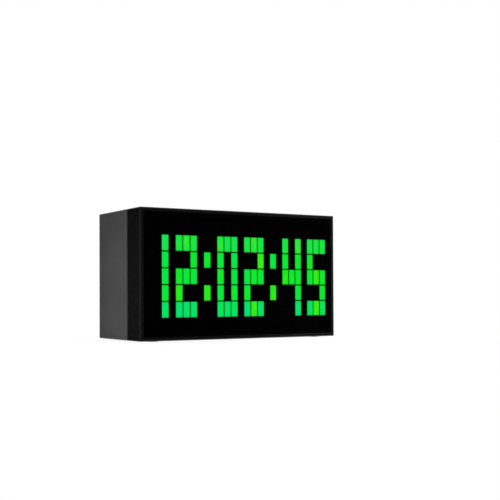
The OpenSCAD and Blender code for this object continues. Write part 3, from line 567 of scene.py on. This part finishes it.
# Signs in the tray. Low signs moulded with the tray's floor under each control: three bars,
# a ring of dots, two arrows, a sun, and I and O at the alarm switch. Fingers find them, and
# the pale foil pressed on them shows against the dark plastic.
BUTTON_PROUD, SIGN_DROP, SIGN_RISE, SIGN_DRAFT = 2.4, 6.2, 0.3, 0.06
LINE_W, BAR_L, BAR_STEP = 0.45, 2.4, 0.9
DOTS, DOT_R, DOTS_R = 6, 0.3, 1.1
ARROW_R, ARROW_SHIFT = 1.4, 0.2
SUN_R, RAYS, RAY_L, RAY_W, RAYS_R = 0.6, 8, 0.6, 0.3, 1.25
SWITCH_SIGN_OUT, LETTER_H, RING_OUTER, RING_INNER = 3.2, 2.2, 1.15, 0.72
bars_x, dots_x, up_x, down_x, sun_x = (middle_of(f"{button}_plunger")[0] for button in BUTTONS)
switch_x, _, switch_z = middle_of("alarm_switch_can")
sign_z = switch_z - SIGN_DROP
signs = [strip(BAR_L, LINE_W, bars_x, sign_z + step) for step in (-BAR_STEP, 0.0, BAR_STEP)]
signs += [regular(10, DOT_R, x, z) for x, z in regular(DOTS, DOTS_R, dots_x, sign_z)]
signs += [regular(3, ARROW_R, up_x, sign_z - ARROW_SHIFT)]
signs += [regular(3, ARROW_R, down_x, sign_z + ARROW_SHIFT, -90)]
signs += [regular(20, SUN_R, sun_x, sign_z)]
signs += [
    strip(RAY_L, RAY_W, x, z, 360 / RAYS * i)
    for i, (x, z) in enumerate(regular(RAYS, RAYS_R, sun_x, sign_z, 0))
]
signs += [strip(LINE_W, LETTER_H, switch_x + SWITCH_SIGN_OUT, sign_z)]
tray_floor = button_face - BUTTON_PROUD
sign_foot, sign_top = tray_floor - SIGN_SINK, tray_floor + SIGN_RISE
reliefs = [raised(sign, sign_foot, sign_top, SIGN_DRAFT) for sign in signs]
ring_x = switch_x - SWITCH_SIGN_OUT
reliefs += [raised_ring(RING_OUTER, RING_INNER, ring_x, sign_z, sign_foot, sign_top)]
piece("tray_signs", join(reliefs), case_mark_abs, "casing", 20)

# Power inlet. A barrel socket of black nylon that stands on the main board, its nose in the
# back wall. The centre pin is turned brass with a bright nickel plating.
dress(moulding_compound("black_nylon_socket", "#0e0e0f", "#161617", 0.36), "dc_inlet")
dress(drawn_metal("nickel_plated_brass", "#b9b5aa", "#d0ccc0", 0.2, 0.3, 1), "dc_inlet_pin")

# Ribbon and its connectors. A flat cable of ten wires in one grey PVC web joins the boards.
# Its wires show as ridges 1.27 mm apart, and the first one is red. Both connectors are
# white nylon, soldered to their boards.
WIRE_STEP = 1.27
WIRES = 10


def ribbon_pvc():
    """Ridged PVC web: the ridges are a cosine of the place across the cable."""
    material = new_finish("grey_ribbon_pvc")
    place = put(material, "TexCoord").outputs["Object"]
    x = put(material, "SeparateXYZ", {0: place}).outputs[0]
    ripple = put(
        material, "Math", {0: x, 1: 2 * math.pi * per_mm(WIRE_STEP)}, operation="MULTIPLY"
    ).outputs[0]
    ridge = put(material, "Math", {0: ripple}, operation="COSINE").outputs[0]
    level = put(material, "MapRange", {0: ridge, 1: 1.0, 2: -1.0}).outputs[0]
    web = put(
        material, "Mix", {0: level, 6: linear("#6d6e70"), 7: linear("#a3a4a6")},
        data_type="RGBA",
    ).outputs[2]
    first = put(
        material, "Math", {0: x, 1: (1 - WIRES / 2) * WIRE_STEP * MM}, operation="LESS_THAN"
    ).outputs[0]
    bump = put(material, "Bump", {"Height": level, "Distance": 0.25 * MM})
    colour = put(
        material, "Mix", {0: first, 6: web, 7: linear("#8c2620")}, data_type="RGBA"
    ).outputs[2]
    return close_finish(material, put(
        material, "BsdfPrincipled",
        {"Base Color": colour, "Roughness": 0.42, "IOR": 1.53, "Normal": bump.outputs[0]},
    ))


dress(ribbon_pvc(), "ribbon_cable")
dress(
    rippled_plastic("white_nylon", "#cbc9c0", "#dcdad2", 0.45, 3.0),
    "main_connector", "display_connector",
)

# Front frame. One deep moulding of black ABS from a polished tool: rim, sides and the panel
# behind the lens. It mirrors the room with only a faint moulding ripple, so it reads as
# near black with a bright line along each rounded edge.


def polished_abs(name):
    """Glossy ABS: sink ripple 14 mm long and hairlines about 0.3 mm apart."""
    material = new_finish(name)
    place = put(material, "TexCoord").outputs["Object"]
    ripple = put(
        material, "TexNoise", {"Vector": place, "Scale": per_mm(14), "Detail": 1.0}
    ).outputs[0]
    smears = put(
        material, "TexNoise",
        {"Vector": place, "Scale": per_mm(22), "Detail": 4.0, "Distortion": 0.8},
    ).outputs[0]
    hair_at = put(material, "Mapping", {"Vector": place, "Scale": (0.05, 0.4, 1.0)}).outputs[0]
    hairs = put(
        material, "TexNoise", {"Vector": hair_at, "Scale": per_mm(0.3), "Detail": 2.0}
    ).outputs[0]
    shine = put(
        material, "MapRange", {0: smears, 1: 0.35, 2: 0.7, 3: 0.07, 4: 0.15}
    ).outputs[0]
    relief = put(
        material, "Math", {0: hairs, 1: 0.02, 2: ripple}, operation="MULTIPLY_ADD"
    ).outputs[0]
    bump = put(material, "Bump", {"Height": relief, "Distance": 0.012 * MM})
    colour = put(
        material, "Mix", {0: smears, 6: linear("#0a0a0b"), 7: linear("#0f0f10")},
        data_type="RGBA",
    ).outputs[2]
    return close_finish(material, put(
        material, "BsdfPrincipled",
        {"Base Color": colour, "Roughness": shine, "IOR": 1.53, "Normal": bump.outputs[0]},
    ))


dress(polished_abs("polished_black_abs"), "front_frame")

# Display board. The second FR4 board, screwed to four posts of the front frame. Soldered on
# it, behind the middle of every window, is a light-emitting chip of ivory filled resin.
dress(circuit_board("fr4_green_display_mask", math.pi / 2), "display_board")
dress(rippled_plastic("ivory_chip_resin", "#c9c3a4", "#d9d4b8", 0.4, 0.8), "led_chips")

# Reflector grid. A black ABS grid with one well for each window, which keeps the light of
# one window from its neighbours. It is matt so that it vanishes behind the lens.


def matt_black(name, dark, light, rough, shine):
    """Blasted black plastic that hardly reflects, with 0.5 mm grain."""
    material = new_finish(name)
    place = put(material, "TexCoord").outputs["Object"]
    grain = put(
        material, "TexNoise", {"Vector": place, "Scale": per_mm(0.5), "Detail": 2.0}
    ).outputs[0]
    bump = put(material, "Bump", {"Height": grain, "Distance": 0.02 * MM})
    colour = put(
        material, "Mix", {0: grain, 6: linear(dark), 7: linear(light)}, data_type="RGBA"
    ).outputs[2]
    return close_finish(material, put(
        material, "BsdfPrincipled",
        {
            "Base Color": colour, "Roughness": rough, "Specular IOR Level": shine,
            "Normal": bump.outputs[0],
        },
    ))


dress(matt_black("blasted_black_abs_grid", "#070707", "#0b0b0b", 0.7, 0.1), "display_grid")
dress(matt_black("black_foam_tape", "#0b0b0b", "#131313", 0.85, 0.1), "lens_tape")

# Windows. Milky acrylic blocks pushed into the wells, one light-emitting chip behind each.
# Chips of one colour still differ: some windows lean to yellow, and the lowest row to blue.
# The light dims at each well's black walls. Windows that are off are painted as dark as the grid, a
# painted shade for how they look behind the lens.
CELL_W, CELL_H = 6.4, 13.3
COLUMN_STEP, ROW_STEP = 7.0, 14.2
DIGIT_STEP, COLON_STEP = 27.2, 13.2
DISPLAY_LEFT, DISPLAY_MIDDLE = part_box("unlit_windows")[0][0] / MM, middle_of("unlit_windows")[2]
WINDOW_FRONT, WINDOW_BACK = (corner[1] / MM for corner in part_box("unlit_windows"))
EDGE_FADE, EDGE_LEVEL = 0.35, 0.35
CROWN, CORNER_R = 0.15, 0.25
MIDDLE_ROW, LOWEST_ROW, CLOUD_SHIFT = 2, 4, 37
LEAN, LEAN_SPREAD, YELLOW_LEAN, YELLOW_ABOVE = 0.42, 0.12, 0.36, 0.78
LOW_LEAN, LOW_SPREAD, LOW_YELLOW, LOW_ABOVE = 0.1, 0.08, 0.72, 0.3
# Each face of the lens stops this share of a window's light, and the light crosses both.
LENS_ALPHA = 0.6
SEEN_THROUGH = (1 - LENS_ALPHA) ** 2
# Each number from 0 to 9 as five rows of three windows, lit where there is a hash. No number
# lights the middle of the second or fourth row, so the grid has no window there.
DIGITS = (
    "### #.# #.# #.# ###", "..# ..# ..# ..# ..#", "### ..# ### #.. ###",
    "### ..# ### ..# ###", "#.# #.# ### ..# ..#", "### #.. ### ..# ###",
    "### #.. ### #.# ###", "### ..# ..# ..# ..#", "### #.# ### #.# ###",
    "### #.# ### ..# ###",
)
SHOWN = "120245"
PLACES = (
    "hour_tens", "hour_units", "minute_tens", "minute_units", "second_tens", "second_units",
)


def window(x, z):
    """One milky block with a crowned face and rounded edges.

    Its outline is a rectangle with round corners; ring k is that outline with
    its half sizes cut by inset_k and then scaled by share_k, at depth_k.
    """
    half_w, half_h = CELL_W / 2, CELL_H / 2
    a = np.radians(np.concatenate([q + np.array([0, 45, 90]) for q in (0, 90, 180, 270)]))
    side_x = np.repeat([1, -1, -1, 1], 3)
    side_z = np.repeat([1, 1, -1, -1], 3)
    share = np.array([0.45, 0.8, 1, 1, 1, 1, 1])
    inset = np.array([0, 0, 0.22, 0.07, 0, 0, 0.1])
    depth = np.array([-0.13, -0.09, -0.02, 0.08, 0.25, 1.5, 1.6]) + WINDOW_FRONT
    w = (half_w - inset) * share
    h = (half_h - inset) * share
    r = CORNER_R * share
    px = side_x * (w[:, None] - r[:, None]) + r[:, None] * np.cos(a)
    pz = side_z * (h[:, None] - r[:, None]) + r[:, None] * np.sin(a)
    py = np.repeat(depth[:, None], len(a), 1)
    points = np.stack([px, py, pz], -1).reshape(-1, 3)
    ends = np.array([[0, WINDOW_FRONT - CROWN, 0], [0, WINDOW_BACK, 0]])
    points = np.concatenate([points, ends])
    across = points[:, [0, 2]] / np.array([CELL_W, CELL_H])
    return (points + np.array([x, 0, z])) * MM, skin(len(depth), len(a), clockwise=True), across


def windows(name, cells, material, node, draw):
    """One piece of the windows in these cells (x, z, column, row).

    The attribute chip holds each window's lean from blue, 0, to yellow, 1, a second
    draw, and 1 in the top row; across holds the place in the window, -0.5 to 0.5.
    A lean is a mean with a spread, and a step more where another draw is high.
    """
    made = [window(x, z) for x, z, _, _ in cells]
    whole = piece(name, join([m[:2] for m in made]), material, "casing", 30)
    chip = []
    for (_, _, column, row), block in zip(cells, made):
        lean = LEAN + LEAN_SPREAD * draw.uniform(-1, 1)
        lean += YELLOW_LEAN * (draw.uniform() > YELLOW_ABOVE)
        if row == LOWEST_ROW:
            lean = LOW_LEAN + LOW_SPREAD * draw.uniform(-1, 1)
            lean += LOW_YELLOW * (column == 1 and draw.uniform() > LOW_ABOVE)
        chip.append(np.tile([lean, draw.uniform(), 1.0 if row == 0 else 0.0], (len(block[0]), 1)))
    for attribute, values in (
        ("chip", np.concatenate(chip)),
        ("across", np.concatenate([np.c_[m[2], np.zeros(len(m[2]))] for m in made])),
    ):
        layer = whole.data.attributes.new(attribute, "FLOAT_VECTOR", "POINT")
        layer.data.foreach_set("vector", values.astype(np.float32).ravel())
    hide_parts(node)


def lit_acrylic(name):
    """Milky acrylic lit from behind by a chip 6 mm behind its face.

    The light is brightest over the chip and falls off in the last 0.35 mm before
    the well's black walls. Its strength makes up for what the lens takes away. A
    window's second draw moves it to its own part of the clouds in the acrylic.
    """
    material = new_finish(name)
    chip = put(material, "Attribute", attribute_name="chip").outputs["Vector"]
    lean, _, top = put(material, "SeparateXYZ", {0: chip}).outputs
    across = put(material, "Attribute", attribute_name="across").outputs["Vector"]
    moved = put(
        material, "VectorMath", {0: chip, 1: (0, CLOUD_SHIFT, 0), 2: across},
        operation="MULTIPLY_ADD",
    ).outputs[0]
    clouds = put(material, "TexNoise", {"Vector": moved, "Scale": 1.6, "Detail": 1.0}).outputs[0]
    drift = put(material, "MapRange", {0: clouds, 1: 0.3, 2: 0.7, 3: -0.13, 4: 0.13}).outputs[0]
    hue = put(material, "Math", {0: lean, 1: drift}, operation="ADD", use_clamp=True).outputs[0]
    ramp = put(material, "ValToRGB", {0: hue})
    stops = ((0.0, "#08de70"), (0.3, "#0ae544"), (0.5, "#0ee72a"), (0.75, "#26ea1a"), (1.0, "#46ec10"))
    while len(ramp.color_ramp.elements) < len(stops):
        ramp.color_ramp.elements.new(0.5)
    for element, (position, colour) in zip(ramp.color_ramp.elements, stops):
        element.position = position
        element.color = linear(colour)
    pale = put(material, "Math", {0: top, 1: 0.3}, operation="MULTIPLY").outputs[0]
    light = put(
        material, "Mix", {0: pale, 6: ramp.outputs[0], 7: linear("#2adf5c")}, data_type="RGBA"
    ).outputs[2]
    reach = put(material, "VectorMath", {0: across}, operation="LENGTH").outputs["Value"]
    glow = put(material, "MapRange", {0: reach, 1: 0.25, 2: 0.7, 3: 1.02, 4: 0.92}).outputs[0]
    out = put(material, "VectorMath", {0: across}, operation="ABSOLUTE").outputs[0]
    rim = put(
        material, "MapRange",
        {
            "Vector": out, 7: (0.5 - EDGE_FADE / CELL_W, 0.5 - EDGE_FADE / CELL_H, 0.5),
            8: (0.5, 0.5, 1.0), 9: (1, 1, 1), 10: (EDGE_LEVEL, EDGE_LEVEL, 1),
        },
        data_type="FLOAT_VECTOR",
    )
    rim_x, rim_z, _ = put(material, "SeparateXYZ", {0: rim.outputs["Vector"]}).outputs
    edge = put(material, "Math", {0: rim_x, 1: rim_z}, operation="MULTIPLY").outputs[0]
    level = put(material, "Math", {0: glow, 1: edge}, operation="MULTIPLY").outputs[0]
    shaded = put(
        material, "VectorMath", {0: light, "Scale": level}, operation="SCALE"
    ).outputs[0]
    return close_finish(material, put(
        material, "BsdfPrincipled",
        {
            "Base Color": linear("#06170b"), "Roughness": 0.4, "IOR": 1.49,
            "Specular IOR Level": 0.2,
            "Emission Color": shaded, "Emission Strength": 1 / SEEN_THROUGH,
        },
    ))


def unlit_acrylic_painted_dark(name):
    """The same blocks with no light behind them, painted near black like the grid: painted shade for
    milky acrylic in its well behind the lens.
    """
    material = new_finish(name)
    place = put(material, "TexCoord").outputs["Object"]
    haze = put(material, "TexNoise", {"Vector": place, "Scale": per_mm(3), "Detail": 2.0}).outputs[0]
    colour = put(
        # Near black colour on milky acrylic: painted shade.
        material, "Mix", {0: haze, 6: linear("#0a0b0a"), 7: linear("#0e100e")}, data_type="RGBA"
    ).outputs[2]
    return close_finish(material, put(
        material, "BsdfPrincipled",
        {"Base Color": colour, "Roughness": 0.45, "IOR": 1.49, "Specular IOR Level": 0.15},
    ))


def row_height(row):
    """Middle of a row of windows, the top row first."""
    return DISPLAY_MIDDLE + (MIDDLE_ROW - row) * ROW_STEP


# A plain seed, so that the same windows lean to yellow each time.
draw = np.random.default_rng(11)
lit = lit_acrylic("milky_acrylic_lit_green")
dark_cells = []
for i, place_name in enumerate(PLACES):
    left = DISPLAY_LEFT + i * DIGIT_STEP + (i // 2) * COLON_STEP
    cells = []
    for row, line in enumerate(DIGITS[int(SHOWN[i])].split()):
        for column, mark in enumerate(line):
            if column == 1 and row % 2:
                continue
            cell = (left + column * COLUMN_STEP + CELL_W / 2, row_height(row), column, row)
            (cells if mark == "#" else dark_cells).append(cell)
    windows(f"{place_name}_light", cells, lit, f"{place_name}_windows", draw)
colons = [
    (DISPLAY_LEFT + (2 * c + 2) * DIGIT_STEP + c * COLON_STEP + CELL_W / 2, row_height(row), 0, row)
    for c in (0, 1) for row in (1, 3)
]
windows("colon_light", colons, lit, "colon_windows", draw)
windows(
    "dark_window_blocks", dark_cells, unlit_acrylic_painted_dark("milky_acrylic_unlit_painted_dark"),
    "unlit_windows", draw,
)

# Lens. A plate of smoked acrylic, PMMA, 2.5 mm thick, laser cut and flame polished, held by
# a ring of tape. It hides all but the lit windows and shines like glass.


def smoked_pmma():
    """Smoked PMMA: a lone shader with plain opacity, and faint polishing haze."""
    material = new_finish("smoked_pmma")
    place = put(material, "TexCoord").outputs["Object"]
    haze = put(
        material, "TexNoise",
        {"Vector": place, "Scale": per_mm(25), "Detail": 4.0, "Distortion": 0.5},
    ).outputs[0]
    shine = put(material, "MapRange", {0: haze, 1: 0.4, 2: 0.7, 3: 0.02, 4: 0.06}).outputs[0]
    return close_finish(material, put(
        material, "BsdfPrincipled",
        {
            "Base Color": linear("#010101"), "Roughness": shine, "IOR": 1.49,
            "Alpha": LENS_ALPHA,
        },
    ))


dress(smoked_pmma(), "front_lens")

# Screws. Pan-head screws of zinc-plated steel: four long ones join the case, and four short
# ones hold each board. Plating leaves a fine frosted grain.
zinc = drawn_metal("zinc_plated_steel", "#a7a9ad", "#c9cbcf", 0.3, 0.4, 0)
dress(zinc, "case_screws", "board_screws", "display_screws")

# Feet. Four round feet of black EPDM rubber, pressed and glued into pockets of the
# underside. Each has a softly rounded edge and a shallow hollow that grips.
FOOT_R, FOOT_ROUND = 5.0, 0.35
HOLLOW_R, HOLLOW_DEPTH = 3.6, 0.2


def rubber(name):
    """Moulded rubber: matt, with 0.4 mm skin grain and a little dust."""
    material = new_finish(name)
    place = put(material, "TexCoord").outputs["Object"]
    skin = put(material, "TexNoise", {"Vector": place, "Scale": per_mm(0.4), "Detail": 3.0}).outputs[0]
    dust = put(material, "TexNoise", {"Vector": place, "Scale": per_mm(4), "Detail": 3.0}).outputs[0]
    bump = put(material, "Bump", {"Height": skin, "Distance": 0.03 * MM})
    colour = put(
        material, "Mix", {0: dust, 6: linear("#161616"), 7: linear("#242423")}, data_type="RGBA"
    ).outputs[2]
    return close_finish(material, put(
        material, "BsdfPrincipled",
        {
            "Base Color": colour, "Roughness": 0.8, "Specular IOR Level": 0.3,
            "Normal": bump.outputs[0],
        },
    ))


foot_low, foot_high = (np.array(c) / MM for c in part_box("rubber_feet"))
hollow_r = np.linspace(0, HOLLOW_R, 7)
hollow = HOLLOW_DEPTH * (1 + np.cos(np.pi * hollow_r / HOLLOW_R)) / 2
foot_profile = np.concatenate([
    np.stack([hollow_r, hollow], 1),
    arc((FOOT_R - FOOT_ROUND, FOOT_ROUND), FOOT_ROUND, -90, 0),
    [[FOOT_R, foot_high[2]], [0, foot_high[2]]],
])
feet = [
    turned(foot_profile, (x, y, 0), 2)
    for x in (foot_low[0] + FOOT_R, foot_high[0] - FOOT_R)
    for y in (foot_low[1] + FOOT_R, foot_high[1] - FOOT_R)
]
rubber_pads = piece(
    "rubber_foot_pads", join(feet), rubber("black_epdm_rubber"), "casing"
)
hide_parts("rubber_feet")

# Studio. A white floor, a white room and five soft lamps. Mirrors see walls that are dark at
# eye level, and neither the floor nor the lamps, which keeps the gloss black as in the
# photograph.
scene = bpy.context.scene
scene.view_settings.view_transform = "Standard"


def seen_directly(material):
    """1 for camera, mirror and glass rays, and 0 for the light that falls on things."""
    path = put(material, "LightPath").outputs
    some = put(
        material, "Math", {0: path["Is Camera Ray"], 1: path["Is Glossy Ray"]}, operation="ADD"
    ).outputs[0]
    return put(
        material, "Math", {0: some, 1: path["Is Transmission Ray"]},
        operation="ADD", use_clamp=True,
    ).outputs[0]


ROOM_LEVEL = 0.57
WALL_DARK, WALL_SIDE = 0.0, 0.4


def mirrored_walls(material):
    """What a mirror sees of the walls, by the direction (x, y, z) that it looks in.

    White where |z| is over 0.75, and dark where it is under 0.16. The dark part is
    grey towards the left and the right walls, where |x| is over 0.92.
    """
    towards = put(material, "TexCoord").outputs["Generated"]
    away = put(material, "VectorMath", {0: towards}, operation="ABSOLUTE").outputs[0]
    x, _, z = put(material, "SeparateXYZ", {0: away}).outputs
    wall = put(
        material, "MapRange", {0: x, 1: 0.62, 2: 0.92, 3: WALL_DARK, 4: WALL_SIDE},
        interpolation_type="SMOOTHSTEP",
    ).outputs[0]
    return put(
        material, "MapRange", {0: z, 1: 0.16, 2: 0.75, 3: wall, 4: 1.0},
        interpolation_type="SMOOTHSTEP",
    ).outputs[0]


world = bpy.data.worlds.new("white_room")
world.use_nodes = True
world.node_tree.nodes.clear()
mirrored = put(world, "LightPath").outputs["Is Glossy Ray"]
white = put(world, "Mix", {0: mirrored, 2: 1.0, 3: mirrored_walls(world)}).outputs[0]
room = put(world, "Mix", {0: seen_directly(world), 2: ROOM_LEVEL, 3: white}).outputs[0]
sky = put(world, "Background", {"Color": (1, 1, 1, 1), "Strength": room})
put(world, "OutputWorld", {"Surface": sky.outputs[0]})
scene.world = world


def sheet_of(name, corners, material):
    """A flat stage sheet from its four corners."""
    mesh = bpy.data.meshes.new(name)
    mesh.from_pydata(corners, [], [(0, 1, 2, 3)])
    mesh.materials.append(material)
    made = bpy.data.objects.new(name, mesh)
    scene.collection.objects.link(made)
    return made


def floor_paper():
    """White paper that the camera sees as 86 % plain white near the clock.

    That share rises to all of it 0.4 m away, so only a faint shadow is left.
    """
    material = new_finish("floor_paper")
    place = put(material, "TexCoord").outputs["Object"]
    reach = put(material, "VectorMath", {0: place}, operation="LENGTH").outputs["Value"]
    far = put(
        material, "MapRange", {0: reach, 1: 0.14, 2: 0.4, 3: 0.86, 4: 1.0},
        interpolation_type="SMOOTHSTEP",
    ).outputs[0]
    share = put(
        material, "Math", {0: far, 1: seen_directly(material)}, operation="MULTIPLY"
    ).outputs[0]
    paper = put(material, "BsdfDiffuse", {"Color": linear("#f6f6f4")})
    white = put(material, "Emission", {"Color": (1, 1, 1, 1), "Strength": 1.0})
    lit_paper = put(material, "MixShader", {0: share, 1: paper.outputs[0], 2: white.outputs[0]})
    below = put(material, "NewGeometry").outputs["Backfacing"]
    clear = put(material, "BsdfTransparent")
    return close_finish(material, put(
        material, "MixShader", {0: below, 1: lit_paper.outputs[0], 2: clear.outputs[0]}
    ))


FLOOR = 4.0
floor = sheet_of(
    "floor", [(-FLOOR, -FLOOR, 0), (FLOOR, -FLOOR, 0), (FLOOR, FLOOR, 0), (-FLOOR, FLOOR, 0)],
    floor_paper(),
)
floor.visible_glossy = False


def soft_lamp(name, size, watts, place, target=(0, 0, 0.06)):
    """A square softbox aimed at a place on the clock, or just beside it."""
    lamp = bpy.data.lights.new(name, "AREA")
    lamp.shape, lamp.size, lamp.energy = "SQUARE", size, watts
    made = bpy.data.objects.new(name, lamp)
    scene.collection.objects.link(made)
    made.location = place
    aim = Vector(target) - Vector(place)
    made.rotation_mode = "QUATERNION"
    made.rotation_quaternion = aim.to_track_quat("-Z", "Y")
    made.visible_glossy = made.visible_camera = False


soft_lamp("top_lamp", 1.4, 9.0, (-0.3, -0.1, 1.6))
soft_lamp("low_lamp", 0.03, 0.26, (-0.24, -0.07, 0.017), (-0.099, -0.02, -0.02))
soft_lamp("fill_lamp", 1.2, 6.0, (1.3, -1.0, 0.9))
soft_lamp("back_lamp", 1.2, 15.0, (0.4, 1.4, 1.1))
soft_lamp("rim_lamp", 0.08, 0.6, (0.165, -0.18, 0.04), (0.097, -0.044, 0.045))

# Camera. Its place, turn and lens were fitted to the corners of the clock in the
# photograph. It looks up by a degree, with a slight roll.
FOCAL_PIXELS = 948.3
PHOTO_PIXELS = 500
LENS_AXIS_PIXEL = 280
SENSOR = 36.0
CAMERA_X, CAMERA_Y, CAMERA_Z = -428.42, -760.23, 38.17
LOOK_UP, ROLL, TURN = 0.96, 0.24, -31.31
camera = bpy.data.objects.new("camera", bpy.data.cameras.new("camera"))
scene.collection.objects.link(camera)
camera.data.sensor_width = SENSOR
camera.data.lens = FOCAL_PIXELS / PHOTO_PIXELS * SENSOR
camera.data.shift_y = (LENS_AXIS_PIXEL - PHOTO_PIXELS / 2) / PHOTO_PIXELS
camera.location = (CAMERA_X * MM, CAMERA_Y * MM, CAMERA_Z * MM)
camera.rotation_euler = (math.radians(90 + LOOK_UP), math.radians(ROLL), math.radians(TURN))
scene.camera = camera
